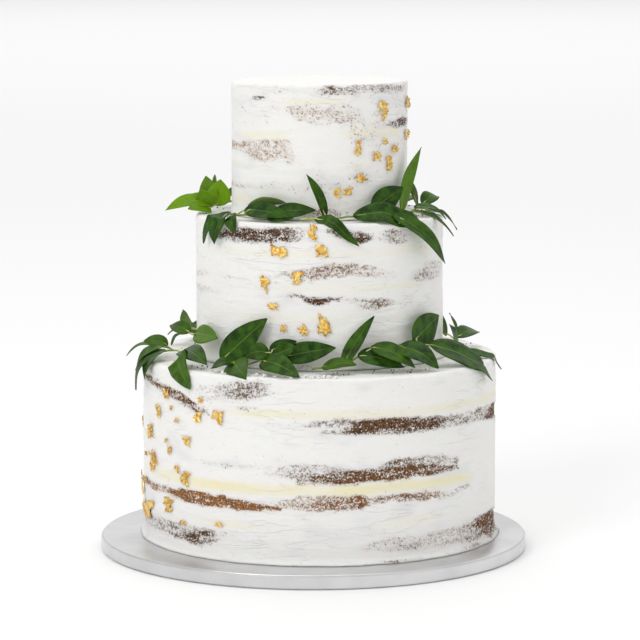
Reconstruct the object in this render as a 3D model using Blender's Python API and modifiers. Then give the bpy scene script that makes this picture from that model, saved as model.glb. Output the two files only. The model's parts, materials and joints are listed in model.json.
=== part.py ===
"""Three-tier semi-naked wedding cake on its round board, with two garlands of ruscus leaves.

World frame: metres, +Z up, origin at the centre of the board's underside, front towards -Y.
Places on the cake are given round its axis: a bearing in degrees (0 in front, positive to
the right), a distance out from the wall of the tier above, and a height above the ledge.
"""

import math
from collections import namedtuple

import bmesh
import bpy
from mathutils import Vector
from mathutils.geometry import intersect_point_line

MM = 0.001

# Driving dimensions, in millimetres.
BOARD_RADIUS = 152.4
BOARD_HEIGHT = 10.0
BOARD_EDGE = 1.6
BOARD_SIDES = 48
CAKE_X = 4.3
CAKE_Y = 4.0
COAT = 1.5
GAP = 0.3
EDGE_ROUND = 3.6
FOOT_FLARE = 0.9
FOOT_RISE = 7.0
STEM_RADIUS = 1.0
LEAF_THICKNESS = 1.3
LEAF_CLEARANCE = 1.8
CORNER_CLEARANCE = 3.0
CORNER_REACH = 14.0
LEAF_RINGS = 4
LEAF_HOLD = 0.8
STEM_STEP = 17.0
SMEAR_STEP = 16.0

Tier = namedtuple("Tier", "name radius base top filling first pitch sides")
TIERS = (
    Tier("tier1", 126.0, 10.0, 139.0, 5.0, 36.4, 26.2, 26),
    Tier("tier2", 88.0, 139.0, 240.0, 4.6, 153.4, 22.7, 22),
    Tier("tier3", 62.5, 240.0, 334.0, 4.6, 256.7, 22.1, 18),
)
FILLINGS = 4

Ledge = namedtuple("Ledge", "wall edge height")
UPPER_LEDGE = Ledge(TIERS[2].radius, TIERS[1].radius, TIERS[1].top)
LOWER_LEDGE = Ledge(TIERS[1].radius, TIERS[0].radius, TIERS[0].top)

# Places where the coat is scraped through to the sponge: bearings of both ends, height of the
# middle, half height, and how much higher the right end is than the left one.
Smear = namedtuple("Smear", "start end height half rise")
SMEARS = {
    "tier1": (
        Smear(-76, -40, 122.5, 4.5, -4), Smear(-2, 84, 104.5, 4.6, -5), Smear(-14, 49, 74.0, 4.4, 0),
        Smear(-75, -18, 50.5, 2.8, 0), Smear(-11, 41, 53.5, 3.8, 0), Smear(-74, -35, 25.0, 4.8, 1),
        Smear(12, 86, 21.5, 4.2, -2), Smear(112, 158, 76.0, 4.4, 2), Smear(206, 252, 102.5, 4.4, -4),
    ),
    "tier2": (
        Smear(-57, -8, 230.0, 4.0, 1), Smear(7, 40, 229.0, 3.6, -2), Smear(-22, 36, 205.6, 3.8, -1),
        Smear(45, 74, 203.5, 4.8, 0), Smear(-79, -53, 189.0, 2.4, 1), Smear(12, 36, 185.5, 2.8, -2),
        Smear(108, 150, 206.5, 3.8, -2), Smear(182, 238, 184.0, 4.2, 2),
    ),
    "tier3": (
        Smear(-2, 68, 328.0, 3.0, 0), Smear(-18, 28, 313.0, 5.2, 0), Smear(42, 71, 304.5, 2.6, 0),
        Smear(-86, -18, 288.5, 4.8, -1), Smear(-75, -43, 262.5, 2.5, 1), Smear(18, 38, 267.5, 4.0, -1),
        Smear(104, 166, 311.0, 4.6, 2), Smear(186, 248, 289.0, 4.6, 0),
    ),
}

# A leaf runs from base to tip, each (bearing, out, up); facing turns its upper side from
# straight up (0) to straight out from the cake (90), and bow is how far its middle rises.
Leaf = namedtuple("Leaf", "base tip width facing bow")
Sprig = namedtuple("Sprig", "name stem leaves")

UPPER_SPRIGS = (
    Sprig("upper_sprig_left", ((-132, 12, 3), (-112, 11, 5), (-96, 12, 5), (-87, 14, 4)), (
        Leaf((-93, 16, 6), (-90, 47, 1), 10, 30, 5),
        Leaf((-89, 14, 6), (-83, 35, 10), 8, 10, 2),
        Leaf((-93, 13, 5), (-95.6, 19, 25), 8, 80, 2),
        Leaf((-91, 10, 4), (-91.6, 8, 23), 12, 85, 1),
        Leaf((-87, 15, 4), (-84.6, 22.5, 17), 9, 75, 2),
        Leaf((-86, 15, 3), (-79, 32, 4), 9, 25, 2),
        Leaf((-108, 12, 6), (-105, 15, 25), 9, 60, 2),
        Leaf((-120, 12, 4), (-112, 27, 8), 11, 20, 4),
    )),
    Sprig("upper_sprig_front_left", ((-56, 15, 3), (-44.6, 17, 3), (-38.7, 15, 4.5), (-16.3, 15, 3)), (
        Leaf((-52, 17, 5), (-51.2, 31, -16.7), 14, 70, 4),
        Leaf((-47, 20, 4), (-39.9, 28, -8), 9, 60, 2),
        Leaf((-57, 18, 3), (-60, 31, -17.4), 10, 60, 4),
        Leaf((-45, 8.5, 7), (-19.2, 8, 12.9), 9, -40, 3),
        Leaf((-44, 12, 7), (-14.2, 20, 4.4), 12, 50, 2),
        Leaf((-27, 17, 3), (-12.6, 18.5, 3.5), 8, 60, 1),
        Leaf((-25.4, 10, 6.5), (-2, 6, 7.9), 10, 60, 1),
    )),
    Sprig("upper_sprig_front", ((-10, 12.5, 2), (3.5, 12, 2.5), (18.3, 9.5, 4), (36, 7.5, 4.5),
                                    (51.3, 9, 4.4)), (
        Leaf((3.1, 10.5, 3), (-7.5, 6.5, 32.7), 9, 20, 3),
        Leaf((-2.3, 14, 2.5), (17.1, 30, -14.7), 9, 60, 4),
        Leaf((18.3, 11, 4), (55.4, 29, -7.5), 15, 55, 4),
        Leaf((31.6, 6.5, 7), (56, 8, 21.2), 14, 80, -1),
        Leaf((53, 8.5, 4.7), (74.4, 12, 47.8), 12, 75, -3),
        Leaf((36.9, 21, 5), (59.3, 39.5, -31), 13, 60, 7),
    )),
    Sprig("upper_sprig_right", ((61, 10, 3), (78, 9.5, 4), (92, 10, 4), (108, 11, 3)), (
        Leaf((62, 13, 4), (71, 37, -14), 9, 45, 4),
        Leaf((68, 9, 6), (77.5, 29, -3), 8, 35, 4),
        Leaf((78, 14, 3), (86, 35.5, -12), 9, 45, 4),
        Leaf((92, 11, 5), (103, 24, 9), 11, 30, 4),
        Leaf((104, 10, 4), (126, 8, 24), 12, 75, 2),
    )),
)
LOWER_SPRIGS = (
    Sprig("lower_sprig_left_high", ((-124, 8, 10), (-104, 8, 14), (-84, 9, 16), (-67, 8, 18)), (
        Leaf((-106, 8, 14), (-103, 13, 28), 9, 70, 2),
        Leaf((-74, 7, 18), (-84.4, 19, 21), 9, 40, 2),
        Leaf((-78, 8, 16), (-76.2, 20, 9), 9, 50, 3),
        Leaf((-67, 7, 19), (-46, 10, 19.5), 11, 60, 1),
        Leaf((-118, 9, 11), (-108, 28, 8), 12, 30, 4),
    )),
    Sprig("lower_sprig_left_low", ((-90, 22, 5), (-78, 22, 7), (-62, 21, 7), (-52, 20, 6)), (
        Leaf((-80, 21, 8), (-83.1, 38, 10.3), 9, 60, 2),
        Leaf((-76, 25, 8.5), (-78.5, 45, -9), 10, 60, 5),
        Leaf((-72, 26, 7), (-75.5, 46, -22), 11, 70, 8),
        Leaf((-86, 27, 5), (-88, 50, -2), 9, 40, 5),
        Leaf((-70, 27, 7), (-68.5, 44, -12), 13, 65, 5),
        Leaf((-58, 24, 7.5), (-43.5, 41, -12.1), 15, 70, 4),
        Leaf((-60, 23, 9), (-41, 30, 4), 13, 25, 4),
    )),
    Sprig("lower_sprig_front_left", ((-43, 16, 3), (-33.6, 15, 5), (-29.6, 15, 4.5), (-23.4, 12, 7.7),
                                     (-19.5, 9.6, 12.5), (-14.9, 9.3, 10.4)), (
        Leaf((-42, 14, 5), (-22.6, 5.5, 35.9), 16, 75, 0),
        Leaf((-34, 18, 6), (-23, 38, -3), 13, 45, 3),
        Leaf((-33.1, 18, 5.5), (-37.5, 33, 3), 10, 30, 2),
        Leaf((-20.3, 10, 12.5), (-29, 18, 10.5), 12, 55, 4),
        Leaf((-20.7, 9, 14), (-9.5, 6, 21), 8, 60, 1),
        Leaf((-17, 11, 12), (-9, 14, 18), 10, 50, 1),
        Leaf((-14.9, 9.3, 10.4), (7, 5, 16.5), 12, 65, 1),
        Leaf((-22, 17, 8), (-6, 38.7, 1), 13, 50, 5),
    )),
    Sprig("lower_sprig_front_right", ((-3, 13, 3), (8, 14, 4), (15, 12, 11), (21.4, 11, 16), (40.2, 11, 18),
                                      (48.4, 14, 15)), (
        Leaf((9, 13, 5), (24.1, 4.5, 37.4), 12, 20, 2),
        Leaf((1, 14, 4), (13.2, 22, 7), 11, 25, 2),
        Leaf((15.2, 12, 12), (32, 22, 3), 13, 45, 3),
        Leaf((21.2, 10, 17), (34.3, 28.2, 3), 13, 40, 4),
        Leaf((32.8, 12, 16.3), (42.2, 34, 2), 17, 45, 4),
        Leaf((42, 9, 18), (61.5, 7, 33), 18, 80, 0),
        Leaf((48.4, 14.5, 15), (67.5, 43, -13), 20, 45, 6),
    )),
    Sprig("lower_sprig_right", ((72, 12, 4), (84, 12, 6), (98, 11, 8), (114, 10, 9)), (
        Leaf((74, 15, 4), (80, 43, -9), 11, 50, 5),
        Leaf((79, 11, 6), (73, 8, 24), 12, 80, 1),
        Leaf((92, 11, 8), (96.4, 6, 27), 11, 80, 1),
        Leaf((100, 13, 8), (108, 34, 9), 13, 30, 4),
        Leaf((109, 10, 9), (127, 7, 26), 14, 75, 2),
    )),
)

# Plain sprigs that carry the garlands round the back: first and last bearing, and their stem's
# distance out from the wall.
BackSprig = namedtuple("BackSprig", "name start end out")
UPPER_BACK = (
    BackSprig("upper_sprig_back_right", 131, 172, 11),
    BackSprig("upper_sprig_back_left", 184, 222, 11),
)
LOWER_BACK = (
    BackSprig("lower_sprig_back_right", 134, 170, 16),
    BackSprig("lower_sprig_back", 178, 206, 16),
    BackSprig("lower_sprig_back_left", 214, 232, 16),
)
BACK_LEAF_EVERY = 9.0
BACK_STEM_HEIGHT = 5.0
BACK_LEAF_REACH = 17.0
BACK_LEAF_WIDTH = 13.0


def collection(name):
    """Make a collection in the scene."""
    made = bpy.data.collections.new(name)
    bpy.context.scene.collection.children.link(made)
    return made


def material(name, colour, roughness, metallic=0.0):
    """Make a Principled material."""
    made = bpy.data.materials.new(name)
    made.use_nodes = True
    shader = made.node_tree.nodes["Principled BSDF"]
    shader.inputs["Base Color"].default_value = (*colour, 1.0)
    shader.inputs["Roughness"].default_value = roughness
    shader.inputs["Metallic"].default_value = metallic
    return made


def add_object(name, mesh, owner, finish=None):
    """Put a mesh in the scene under a name."""
    made = bpy.data.objects.new(name, mesh)
    owner.objects.link(made)
    if finish:
        mesh.materials.append(finish)
    return made


def hide_cutter(obj):
    """Mark an object as one that only shapes others."""
    obj.hide_render = True
    obj.display_type = "WIRE"


def smooth(obj):
    """Shade a round piece smooth, with its edges sharp."""
    obj.data.shade_smooth()
    obj.data.set_sharp_from_angle(angle=math.radians(40))


def tube(name, points, radii, owner):
    """Make a closed four-sided tube through points, with its own radius at each."""
    curve = bpy.data.curves.new(name, "CURVE")
    curve.dimensions = "3D"
    curve.bevel_depth = 1.0
    curve.bevel_resolution = 0
    curve.use_fill_caps = True
    spline = curve.splines.new("POLY")
    spline.points.add(len(points) - 1)
    for point, place, radius in zip(spline.points, points, radii):
        point.co = (*place, 1.0)
        point.radius = radius
    drawn = bpy.data.objects.new(name + "_curve", curve)
    owner.objects.link(drawn)
    evaluated = drawn.evaluated_get(bpy.context.evaluated_depsgraph_get())
    mesh = bpy.data.meshes.new_from_object(evaluated)
    weld = bmesh.new()
    weld.from_mesh(mesh)
    bmesh.ops.remove_doubles(weld, verts=weld.verts, dist=0.00001)
    bmesh.ops.recalc_face_normals(weld, faces=weld.faces)
    weld.to_mesh(mesh)
    weld.free()
    made = add_object(name, mesh, owner)
    made.matrix_world = drawn.matrix_world
    bpy.data.objects.remove(drawn)
    return made


def polar(reach, bearing, height):
    """Give the place at a distance from the cake's axis, in millimetres, in metres."""
    turn = math.radians(bearing)
    return Vector((CAKE_X + reach * math.sin(turn), CAKE_Y - reach * math.cos(turn), height)) * MM


def make_board(owner, finish):
    """Make the foil-covered drum that the cake stands on."""
    bpy.ops.mesh.primitive_cylinder_add(
        vertices=BOARD_SIDES, radius=BOARD_RADIUS * MM, depth=BOARD_HEIGHT * MM,
        location=(0, 0, BOARD_HEIGHT / 2 * MM),
    )
    board = bpy.context.object
    for link in board.users_collection:
        link.objects.unlink(board)
    owner.objects.link(board)
    board.name = "board"
    board.data.materials.append(finish)
    bevel = board.modifiers.new("rounded_rim", "BEVEL")
    bevel.width = BOARD_EDGE * MM
    bevel.segments = 1
    bevel.limit_method = "ANGLE"
    smooth(board)


def turn_profile(name, profile, sides, owner, finish):
    """Turn a profile of (radius, height) about the cake's axis into a solid."""
    mesh = bpy.data.meshes.new(name)
    outline = [(radius * MM, 0.0, height * MM) for radius, height in profile]
    mesh.from_pydata(outline, [(i, i + 1) for i in range(len(outline) - 1)], [])
    made = add_object(name, mesh, owner, finish)
    made.location = (CAKE_X * MM, CAKE_Y * MM, 0)
    screw = made.modifiers.new("turned", "SCREW")
    screw.steps = sides
    screw.render_steps = sides
    screw.use_merge_vertices = True
    screw.merge_threshold = 0.00005
    screw.use_smooth_shade = True
    return made


def make_disc(name, tier, low, high, owner, finish):
    """Make one layer, a disc that runs right through the tier inside its coat."""
    radius = tier.radius - COAT - GAP
    profile = ((0, high), (radius, high), (radius, low), (0, low))
    return turn_profile(name, profile, tier.sides, owner, finish)


def make_layers(tier, owner, sponge, filling):
    """Stack the tier's sponges and fillings."""
    low = tier.base + GAP
    for number in range(FILLINGS + 1):
        last = number == FILLINGS
        middle = tier.first + number * tier.pitch
        high = tier.top - COAT - GAP if last else middle - tier.filling / 2 - GAP / 2
        make_disc(f"{tier.name}_sponge{number + 1}", tier, low, high, owner, sponge)
        if not last:
            low = middle - tier.filling / 2 + GAP / 2
            high = middle + tier.filling / 2 - GAP / 2
            make_disc(f"{tier.name}_filling{number + 1}", tier, low, high, owner, filling)
            low = high + GAP


def make_smear(tier, smear, number, cutters):
    """Make the cutter of one scraped-through place: a bar round the wall that thins at its ends."""
    steps = max(3, round((smear.end - smear.start) / SMEAR_STEP))
    points = []
    radii = []
    for step in range(steps + 1):
        along = step / steps
        bearing = smear.start + along * (smear.end - smear.start)
        waver = 0.18 * smear.half * math.sin(bearing * 0.21 + number)
        points.append(polar(tier.radius, bearing, smear.height + smear.rise * (along - 0.5) + waver))
        swell = math.sqrt(math.sin(math.pi * (0.06 + 0.88 * along)))
        radii.append(smear.half * swell * (0.9 + 0.1 * math.sin(bearing * 0.4 + number)) * MM)
    cutter = tube(f"{tier.name}_smear{number + 1}", points, radii, cutters)
    hide_cutter(cutter)
    return cutter


def make_coat(tier, owner, cutters, finish):
    """Make the scraped frosting over one tier, open where the sponge shows."""
    base = tier.base + GAP
    outer = [(0, tier.top)]
    for step in range(4):
        turn = math.radians(90 - 30 * step)
        outer.append((
            tier.radius - EDGE_ROUND + EDGE_ROUND * math.cos(turn),
            tier.top - EDGE_ROUND + EDGE_ROUND * math.sin(turn),
        ))
    outer += [(tier.radius, base + FOOT_RISE), (tier.radius + FOOT_FLARE, base)]
    inner = [(tier.radius - COAT, base), (tier.radius - COAT, tier.top - COAT), (0, tier.top - COAT)]
    coat = turn_profile(f"{tier.name}_coat", outer + inner, tier.sides, owner, finish)
    for number, smear in enumerate(SMEARS[tier.name]):
        cut = coat.modifiers.new(f"scraped{number + 1}", "BOOLEAN")
        cut.operation = "DIFFERENCE"
        cut.solver = "EXACT"
        cut.object = make_smear(tier, smear, number, cutters)


def clear_of_cake(place, ledge):
    """Move a leaf's point off the ledge and off the walls above and below it."""
    offset = Vector((place.x - CAKE_X * MM, place.y - CAKE_Y * MM))
    reach = offset.length / MM
    height = place.z / MM - ledge.height
    from_corner = math.hypot(reach - ledge.edge, height)
    clearance = LEAF_CLEARANCE + CORNER_CLEARANCE * max(0, 1 - from_corner / CORNER_REACH)
    edge = ledge.edge + clearance
    if height > 0:
        reach = max(reach, ledge.wall + LEAF_CLEARANCE)
    if height < clearance and reach < edge:
        if clearance - height < edge - reach:
            height = clearance
        else:
            reach = edge
    offset = offset.normalized() * reach
    return Vector((CAKE_X + offset.x, CAKE_Y + offset.y, ledge.height + height)) * MM


def on_ledge(ledge, place):
    """Give the world place of (bearing, out, up) on a ledge."""
    bearing, out, up = place
    return polar(ledge.wall + out, bearing, ledge.height + up)


def leaf_frame(leaf, ledge):
    """Give a leaf's base, its length along its run, its side and its upper side."""
    base = on_ledge(ledge, leaf.base)
    run = on_ledge(ledge, leaf.tip) - base
    turn = math.radians(leaf.facing)
    bearing = math.radians((leaf.base[0] + leaf.tip[0]) / 2)
    outward = Vector((math.sin(bearing), -math.cos(bearing), 0))
    wanted = Vector((0, 0, math.cos(turn))) + outward * math.sin(turn)
    side = wanted.cross(run).normalized()
    return base, run, side, run.cross(side).normalized()


def nearest_on_stem(stem, place):
    """Give the point of a stem that is nearest to a place, a little in from the stem's ends."""
    nearest = []
    for first, second in zip(stem, stem[1:]):
        _, part = intersect_point_line(place, first, second)
        nearest.append(first.lerp(second, min(max(part, 0.08), 0.92)))
    return min(nearest, key=lambda point: (point - place).length)


def clearing_shift(places, ledge):
    """Give the one move that takes a leaf's cross-section clear of the cake."""
    shift = Vector((0, 0, 0))
    for _ in range(3):
        moves = [clear_of_cake(place + shift, ledge) - place - shift for place in places]
        shift += max(moves, key=lambda move: move.length)
    return shift


def make_leaf(name, leaf, stem, ledge, owner):
    """Make one blade: a pointed lens with a ridge along its middle, its lower end in the stem."""
    base, run, side, upper = leaf_frame(leaf, ledge)
    blade = bmesh.new()
    bmesh.ops.create_uvsphere(blade, u_segments=4, v_segments=LEAF_RINGS, radius=1.0)
    for vertex in blade.verts:
        along = (vertex.co.z + 1) / 2
        middle = base + run * along + upper * (leaf.bow * math.sin(math.pi * along) * MM)
        reach = math.hypot(vertex.co.x, vertex.co.y) * leaf.width / 2 * (1.25 - 0.5 * along) * MM
        middle += clearing_shift((middle, middle + side * reach, middle - side * reach), ledge)
        across = 0 if abs(vertex.co.x) < 0.01 else math.copysign(reach, vertex.co.x)
        thick = 0 if abs(vertex.co.y) < 0.01 else math.copysign(LEAF_THICKNESS / 2 * MM, vertex.co.y)
        vertex.co = middle + side * across + upper * thick
        if along < 0.001:
            root = nearest_on_stem(stem, base)
            vertex.co = root + (root - base).normalized() * STEM_RADIUS * LEAF_HOLD * MM
    bmesh.ops.recalc_face_normals(blade, faces=blade.faces)
    mesh = bpy.data.meshes.new(name)
    blade.to_mesh(mesh)
    blade.free()
    hide_cutter(add_object(name, mesh, owner))


def stem_points(sprig, ledge):
    """Give the points of a sprig's stem, closely enough to follow the round wall."""
    knots = [on_ledge(ledge, place) for place in sprig.stem]
    points = []
    for first, second in zip(knots, knots[1:]):
        steps = max(1, round((second - first).length / (STEM_STEP * MM)))
        points += [clear_of_cake(first.lerp(second, step / steps), ledge) for step in range(steps)]
    return points + [clear_of_cake(knots[-1], ledge)]


def make_sprig(sprig, ledge, owner, finish):
    """Make one sprig: its stem joined with its leaves."""
    stem = stem_points(sprig, ledge)
    made = tube(sprig.name, stem, [STEM_RADIUS * MM] * len(stem), owner)
    made.data.materials.append(finish)
    foliage = collection(sprig.name + "_leaves")
    for number, leaf in enumerate(sprig.leaves):
        make_leaf(f"{sprig.name}_leaf{number + 1}", leaf, stem, ledge, foliage)
    join = made.modifiers.new("leaves", "BOOLEAN")
    join.operation = "UNION"
    join.solver = "EXACT"
    join.operand_type = "COLLECTION"
    join.collection = foliage


def back_sprig(plan):
    """Lay out a plain sprig with leaves on alternate sides of its stem."""
    leaves = []
    count = round((plan.end - plan.start) / BACK_LEAF_EVERY)
    for number in range(count):
        bearing = plan.start + (number + 0.3) * (plan.end - plan.start) / count
        upright = number % 2 == 0
        reach = BACK_LEAF_REACH + 2.5 * math.sin(2.1 * number)
        out = -0.35 * plan.out if upright else reach
        up = reach if upright else -2.0
        leaves.append(Leaf(
            (bearing, plan.out, BACK_STEM_HEIGHT),
            (bearing + 0.75 * BACK_LEAF_EVERY, plan.out + out, BACK_STEM_HEIGHT + up),
            BACK_LEAF_WIDTH, 75 if upright else 35, 1 if upright else 3,
        ))
    middle = (plan.start + plan.end) / 2
    stem = tuple((bearing, plan.out, BACK_STEM_HEIGHT) for bearing in (plan.start, middle, plan.end))
    return Sprig(plan.name, stem, tuple(leaves))


def main():
    """Build every piece of the cake."""
    for old in list(bpy.data.objects):
        bpy.data.objects.remove(old)
    cake = collection("tiered_wedding_cake")
    cutters = collection("cutters")
    frosting = material("frosting", (0.86, 0.85, 0.83), 0.6)
    sponge = material("sponge", (0.33, 0.17, 0.07), 0.85)
    filling = material("filling", (0.84, 0.77, 0.58), 0.55)
    foil = material("foil", (0.78, 0.79, 0.8), 0.35, 0.9)
    leaf_green = material("leaf_green", (0.07, 0.16, 0.04), 0.45)
    make_board(cake, foil)
    for tier in TIERS:
        make_layers(tier, cake, sponge, filling)
        make_coat(tier, cake, cutters, frosting)
    for sprig in UPPER_SPRIGS + tuple(back_sprig(plan) for plan in UPPER_BACK):
        make_sprig(sprig, UPPER_LEDGE, cake, leaf_green)
    for sprig in LOWER_SPRIGS + tuple(back_sprig(plan) for plan in LOWER_BACK):
        make_sprig(sprig, LOWER_LEDGE, cake, leaf_green)


main()
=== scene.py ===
"""Looks of a three-tier semi-naked wedding cake on a foil board, with ruscus garlands and gold leaf.

World frame: metres, +Z up, origin at the centre of the board's underside, front towards -Y.
Places on the cake are given round its axis, in degrees and millimetres: a bearing (0 in front,
positive to the right), a distance out from a tier's wall, and a height.
"""

from __future__ import annotations

import json
import logging
import math
from collections.abc import Iterable, Sequence
from dataclasses import dataclass, field
from enum import Enum

import bmesh
import bpy
import numpy as np
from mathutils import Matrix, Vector

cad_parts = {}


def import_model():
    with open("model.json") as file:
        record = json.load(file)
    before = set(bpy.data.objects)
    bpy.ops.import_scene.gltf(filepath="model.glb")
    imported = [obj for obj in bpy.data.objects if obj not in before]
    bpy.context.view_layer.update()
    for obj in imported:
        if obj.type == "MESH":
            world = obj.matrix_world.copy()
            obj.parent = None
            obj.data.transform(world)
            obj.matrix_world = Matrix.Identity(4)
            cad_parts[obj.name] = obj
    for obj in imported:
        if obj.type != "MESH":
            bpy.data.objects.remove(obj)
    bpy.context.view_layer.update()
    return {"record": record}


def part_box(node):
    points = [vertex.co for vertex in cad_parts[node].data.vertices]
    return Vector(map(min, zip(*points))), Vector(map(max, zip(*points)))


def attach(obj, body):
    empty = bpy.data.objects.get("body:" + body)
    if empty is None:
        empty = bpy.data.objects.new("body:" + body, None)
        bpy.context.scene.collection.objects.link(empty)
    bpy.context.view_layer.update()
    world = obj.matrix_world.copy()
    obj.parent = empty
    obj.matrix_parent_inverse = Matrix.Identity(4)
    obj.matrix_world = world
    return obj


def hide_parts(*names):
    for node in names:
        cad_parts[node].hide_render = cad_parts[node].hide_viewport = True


LOG = logging.getLogger("wedding_cake")
MM = 0.001
FOOT_FLARE = 0.9
EDGE_ROUND = 2.8
NOISE_HEIGHT = 400


def linear(red: int, green: int, blue: int) -> tuple[float, float, float, float]:
    """Turn a display colour of 0 to 255 into linear light, with an alpha of one.

    Args:
        red: Red.
        green: Green.
        blue: Blue.

    Returns:
        Red, green, blue and alpha, from 0 to 1.
    """
    parts = (value / 255 for value in (red, green, blue))
    red_l, green_l, blue_l = (
        part / 12.92 if part <= 0.04045 else ((part + 0.055) / 1.055) ** 2.4 for part in parts
    )
    return red_l, green_l, blue_l, 1.0


def smoothstep(low: float, high: float, value: np.ndarray) -> np.ndarray:
    """Ease from 0 at low to 1 at high."""
    part = np.clip((value - low) / (high - low), 0.0, 1.0)
    return part * part * (3.0 - 2.0 * part)


# --------------------------------------------------------------------------- shaping tools


def only(obj: bpy.types.Object) -> None:
    """Select one object and make it active.

    Args:
        obj: The object.
    """
    bpy.ops.object.select_all(action="DESELECT")
    obj.select_set(True)
    bpy.context.view_layer.objects.active = obj


def settle(obj: bpy.types.Object) -> None:
    """Apply an object's place to its mesh."""
    only(obj)
    bpy.ops.object.transform_apply(location=True, rotation=True, scale=True)


def join(parts: Sequence[bpy.types.Object], name: str) -> bpy.types.Object:
    """Join several objects into the first and name it.

    Args:
        parts: The objects, at least one.
        name: The joined object's name.

    Returns:
        The joined object.
    """
    only(parts[0])
    for part in parts:
        part.select_set(True)
    if len(parts) > 1:
        bpy.ops.object.join()
    whole = bpy.context.view_layer.objects.active
    whole.name = name
    whole.data.name = name
    return whole


def read_points(mesh: bpy.types.Mesh) -> np.ndarray:
    """Give a mesh's vertices as rows of x, y, z in metres.

    Args:
        mesh: The mesh.

    Returns:
        One row per vertex.
    """
    flat = np.empty(len(mesh.vertices) * 3)
    mesh.vertices.foreach_get("co", flat)
    return flat.reshape(-1, 3)


def write_points(mesh: bpy.types.Mesh, points: np.ndarray) -> None:
    """Store rows of x, y, z as a mesh's vertices."""
    mesh.vertices.foreach_set("co", np.ascontiguousarray(points, dtype=np.float32).ravel())
    mesh.update()


def write_field(mesh: bpy.types.Mesh, name: str, values: np.ndarray) -> None:
    """Store one number per vertex under a name that materials read."""
    stored = mesh.attributes.get(name) or mesh.attributes.new(name, "FLOAT", "POINT")
    stored.data.foreach_set("value", np.ascontiguousarray(values, dtype=np.float32))


def apply_modifier(obj: bpy.types.Object, kind: str, **settings: float | str | bool) -> None:
    """Add a modifier, set it and apply it.

    Args:
        obj: The object to change.
        kind: The modifier's type.
        **settings: Its properties by name.
    """
    only(obj)
    modifier = obj.modifiers.new(kind.lower(), kind)
    for name, value in settings.items():
        setattr(modifier, name, value)
    bpy.ops.object.modifier_apply(modifier=modifier.name)


class WallNoise:
    """Smooth value noise over a round wall, which closes on itself after a full turn."""

    def __init__(self, seed: int, girth: float) -> None:
        """Keep the seed and the wall's girth in millimetres."""
        self.seed = seed
        self.girth = girth

    def layer(self, bearing: np.ndarray, height: np.ndarray, wide: float, tall: float,
              salt: int = 0) -> np.ndarray:
        """Sample one octave.

        Args:
            bearing: Bearings in degrees.
            height: Heights in millimetres.
            wide: Width of a cell in millimetres.
            tall: Height of a cell in millimetres.
            salt: Picks one of many independent patterns.

        Returns:
            Values from -1 to 1.
        """
        columns = max(3, round(self.girth / wide))
        rows = int(NOISE_HEIGHT / tall) + 4
        lattice = np.random.default_rng(self.seed * 977 + salt).uniform(-1, 1, (rows, columns))
        across = np.mod(bearing / 360.0, 1.0) * columns
        up = np.clip(height / tall + 1.0, 0, rows - 2.001)
        left = np.floor(across).astype(int)
        low = np.floor(up).astype(int)
        part_x = across - left
        part_y = up - low
        part_x = part_x * part_x * (3 - 2 * part_x)
        part_y = part_y * part_y * (3 - 2 * part_y)
        right = (left + 1) % columns
        left = left % columns
        bottom = lattice[low, left] * (1 - part_x) + lattice[low, right] * part_x
        top = lattice[low + 1, left] * (1 - part_x) + lattice[low + 1, right] * part_x
        return bottom * (1 - part_y) + top * part_y

    def rough(self, bearing: np.ndarray, height: np.ndarray, wide: float, tall: float,
              salt: int = 0) -> np.ndarray:
        """Sum three octaves, each half the size and a little over half the strength.

        Args:
            bearing: Bearings in degrees.
            height: Heights in millimetres.
            wide: Width of the largest cells in millimetres.
            tall: Height of the largest cells in millimetres.
            salt: Picks one of many independent patterns.

        Returns:
            Values from -1 to 1.
        """
        total = np.zeros_like(bearing)
        strength = 1.0
        for octave in range(3):
            shrink = 2 ** octave
            total += strength * self.layer(bearing, height, wide / shrink, tall / shrink, salt + octave)
            strength *= 0.55
        return total / 1.85


# --------------------------------------------------------------------------- the cake's frame


@dataclass(frozen=True)
class TierFrame:
    """One tier's place and size, read from its packed coat, in millimetres."""

    name: str
    centre_x: float
    centre_y: float
    radius: float
    base: float
    top: float

    @classmethod
    def of(cls, name: str) -> "TierFrame":
        """Read a tier from its coat's box.

        Args:
            name: The tier's name, with which its nodes' names start.

        Returns:
            Its place and size.
        """
        low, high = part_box(f"{name}_coat")
        return cls(
            name=name,
            centre_x=(low.x + high.x) / 2 / MM,
            centre_y=(low.y + high.y) / 2 / MM,
            radius=(high.x - low.x) / 2 / MM - FOOT_FLARE,
            base=low.z / MM,
            top=high.z / MM,
        )

    def place(self, bearing: np.ndarray, reach: np.ndarray, height: np.ndarray) -> np.ndarray:
        """Turn bearings, reaches and heights into points in metres.

        Args:
            bearing: Bearings in degrees.
            reach: Distances from the axis in millimetres.
            height: Heights in millimetres.

        Returns:
            One row of x, y, z per point.
        """
        turn = np.radians(bearing)
        return np.stack((
            (self.centre_x + reach * np.sin(turn)) * MM,
            (self.centre_y - reach * np.cos(turn)) * MM,
            height * MM,
        ), axis=-1)


# --------------------------------------------------------------------------- scraped places


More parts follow.
